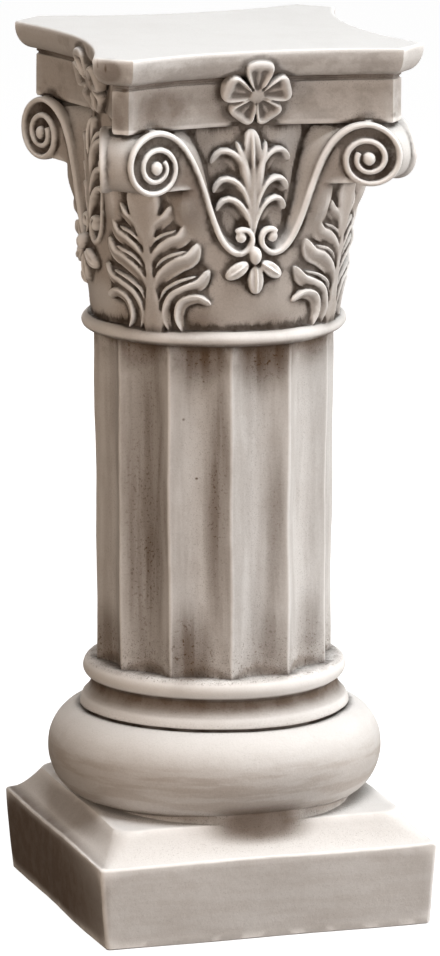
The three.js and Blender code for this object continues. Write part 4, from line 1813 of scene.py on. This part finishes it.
    def _wash(self, signs: Signs, colour: Socket) -> Socket:
        """Let brown wash settle in the hollows, strongest in the carving, with speckles near it.

        Args:
            signs: What the finish goes by.
            colour: The colour so far.

        Returns:
            The colour with this layer.
        """
        graph = signs.graph
        in_carving = graph.most(signs.in_bell, graph.times(signs.on_slab, self.slab_wash))
        deep = graph.times(signs.hollow, graph.ramp(in_carving, 0.0, 1.0, 1.0, 1.7))
        settled = graph.times(graph.ramp(deep, 0.12, 0.62), graph.ramp(signs.cloud, 0.0, 1.0, 0.75, 1.0))
        worn = graph.times(signs.on_slab, signs.blotches)
        settled = graph.times(settled, graph.ramp(worn, 0.2, 0.7, 1.0, 0.6))
        in_neck_line = graph.band(signs.height, *self.neck_line)
        settled = graph.times(settled, graph.ramp(in_neck_line, 0.0, 1.0, 1.0, 0.45))
        sheltered = graph.times(graph.ramp(signs.shelter, 0.62, 0.95), self.shelter_wash)
        colour = graph.mix(graph.most(settled, sheltered), colour, self.wash)
        at_foot = graph.times(signs.over_foot, signs.on_shaft, self.spatter_share)
        speckled = graph.most(graph.ramp(signs.shelter, 0.45, 0.7, 0.1, 0.5), at_foot)
        return graph.mix(graph.times(signs.specks, speckled), colour, self.wash)

    def _dry_brushed(self, signs: Signs, colour: Socket) -> Socket:
        """Brush the crests bright, less where the brush was held back, and tone all with the fine grain.

        Args:
            signs: What the finish goes by.
            colour: The colour so far.

        Returns:
            The finished colour.
        """
        graph = signs.graph
        zones = (signs.on_shaft, signs.in_bell, signs.on_slab)
        held = graph.most(*(graph.times(zone, share) for zone, share in zip(zones, self.brush_held)))
        proud = graph.times(signs.crest, graph.rest(held))
        brushed = graph.times(graph.ramp(proud, 0.08, 0.45), graph.ramp(signs.cloud, 0.0, 1.0, 0.75, 1.0))
        colour = graph.mix(brushed, colour, self.bright)
        return graph.mix(self.grain_tone, colour, signs.grain, "OVERLAY")

    def _surface(self, signs: Signs, colour: Socket, shader: bpy.types.Node) -> None:
        """Link colour, roughness and fine relief to the shader.

        Args:
            signs: What the finish goes by.
            colour: The finished colour.
            shader: The material's shader.
        """
        graph = signs.graph
        rough = graph.ramp(signs.cloud, 0.0, 1.0, *self.roughness)
        noises = zip((signs.grain, signs.cloud), self.bump_shares)
        relief = graph.math("ADD", *(graph.times(noise, share) for noise, share in noises))
        bump = graph.add(
            "ShaderNodeBump",
            {"Height": relief, "Strength": self.bump_strength, "Distance": self.bump_distance},
        )
        inputs = {"Base Color": colour, "Roughness": rough, "Normal": bump.outputs["Normal"]}
        for name, socket in inputs.items():
            graph.tree.links.new(socket, shader.inputs[name])
        shader.inputs["Specular IOR Level"].default_value = self.shine


@dataclass(frozen=True)
class PaleFloor:
    """The plain pale floor, which keeps only a soft shadow."""

    tone: float = 0.02
    seen_tone: float = 0.3
    glow: float = 0.97

    def build(self) -> bpy.types.Material:
        """Build the material."""
        material = bpy.data.materials.new("pale_floor")
        material.use_nodes = True
        graph = Graph(material.node_tree)
        shader = material.node_tree.nodes["Principled BSDF"]
        shader.inputs["Roughness"].default_value = 1.0
        shader.inputs["Specular IOR Level"].default_value = 0.0
        shader.inputs["Emission Color"].default_value = (1.0, 1.0, 1.0, 1.0)
        seen = graph.add("ShaderNodeLightPath", {}).outputs["Is Camera Ray"]
        tone = graph.mix(seen, (self.tone,) * 3, (self.seen_tone,) * 3)
        material.node_tree.links.new(tone, shader.inputs["Base Color"])
        material.node_tree.links.new(graph.times(seen, self.glow), shader.inputs["Emission Strength"])
        return material


# Studio


@dataclass(frozen=True)
class SoftLight:
    """A round soft box aimed at the column.

    Attributes:
        name: Its name.
        azimuth: Its direction from the front, to the right, in degrees.
        elevation: Its height above the horizon, in degrees.
        power: Its power in watts.
        colour: Its colour.
        size: Its diameter in metres.
        distance: How far away it hangs, in metres.
        aim_height: The height that it points at, in metres.
    """

    name: str
    azimuth: float
    elevation: float
    power: float
    colour: Colour
    size: float = 1.3
    distance: float = 2.6
    aim_height: float = 0.36

    def hang(self) -> None:
        """Put the light in its place."""
        light = bpy.data.lights.new(self.name, "AREA")
        light.shape = "DISK"
        light.size = self.size
        light.energy = self.power
        light.color = self.colour
        lamp = bpy.data.objects.new(self.name, light)
        lamp.visible_camera = False
        bpy.context.scene.collection.objects.link(lamp)
        turn, rise = math.radians(self.azimuth), math.radians(self.elevation)
        away = Vector((math.sin(turn) * math.cos(rise), -math.cos(turn) * math.cos(rise), math.sin(rise)))
        lamp.location = Vector((0.0, 0.0, self.aim_height)) + away * self.distance
        lamp.rotation_euler = away.to_track_quat("Z", "Y").to_euler()


@dataclass
class Studio:
    """The plain pale floor, soft light and camera."""

    floor_size: float = 40.0
    lights: tuple[SoftLight, ...] = (
        SoftLight("top_box", 20.0, 75.0, 61.0, (1.0, 0.97, 0.95)),
        SoftLight("front_right_box", 20.0, 5.0, 25.0, (1.0, 0.91, 0.85)),
        SoftLight("front_left_box", -25.0, 5.0, 6.0, (1.0, 0.78, 0.60)),
        SoftLight("left_box", -65.0, 4.0, 7.5, (1.0, 0.80, 0.64), size=0.7, distance=1.5, aim_height=0.5),
        SoftLight("right_box", 68.0, 8.0, 28.0, (1.0, 0.93, 0.87)),
        SoftLight("far_right_box", 95.0, 5.0, 24.0, (1.0, 0.96, 0.92)),
        SoftLight("high_right_box", 65.0, 55.0, 12.0, (0.75, 0.94, 1.0)),
        SoftLight("back_box", 178.0, 10.0, 24.0, (1.0, 0.93, 0.87)),
    )
    camera_distance: float = 5.4006
    camera_azimuth: float = math.radians(-17.403)
    camera_height: float = 1.472
    camera_pitch: float = math.radians(11.713)
    camera_yaw: float = math.radians(-0.021)
    camera_roll: float = math.radians(-0.063)
    focal_pixels: float = 6747.0
    image_height: float = 956.0
    sensor: float = 36.0

    def build(self) -> None:
        """Set up floor, light and camera."""
        self._floor()
        for light in self.lights:
            light.hang()
        world = bpy.data.worlds.new("studio")
        world.use_nodes = True
        world.node_tree.nodes["Background"].inputs["Strength"].default_value = 0.0
        bpy.context.scene.world = world
        bpy.context.scene.view_settings.view_transform = "Standard"
        self._camera()

    def _floor(self) -> None:
        """Lay the floor."""
        deselect_all()
        bpy.ops.mesh.primitive_plane_add(size=self.floor_size)
        floor = bpy.context.object
        floor.name = "floor"
        floor.data.materials.append(PaleFloor().build())

    def _camera(self) -> None:
        """Place the camera where the photograph was taken from."""
        data = bpy.data.cameras.new("camera")
        data.sensor_width = self.sensor
        data.lens = self.focal_pixels * self.sensor / self.image_height
        camera = bpy.data.objects.new("camera", data)
        bpy.context.scene.collection.objects.link(camera)
        camera.location = (
            self.camera_distance * math.sin(self.camera_azimuth),
            -self.camera_distance * math.cos(self.camera_azimuth),
            self.camera_height,
        )
        heading = Matrix.Rotation(self.camera_azimuth + self.camera_yaw, 4, "Z")
        tilt = Matrix.Rotation(QUARTER_TURN - self.camera_pitch, 4, "X")
        camera.rotation_euler = (heading @ tilt @ Matrix.Rotation(self.camera_roll, 4, "Z")).to_euler()
        bpy.context.scene.camera = camera


def main() -> None:
    """Build the casting and its studio, and note the sizes."""
    logging.basicConfig(level=logging.INFO, format="%(name)s: %(message)s")
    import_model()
    casting = Casting()
    piece = casting.build()
    WearMap().measure(piece)
    casting.stand(piece, AntiquedResin().build(cast_grain(), drawn_streaks()))
    LOG.info("%s: %d faces", piece.name, len(piece.data.polygons))
    Studio().build()


if __name__ == "__main__":
    main()
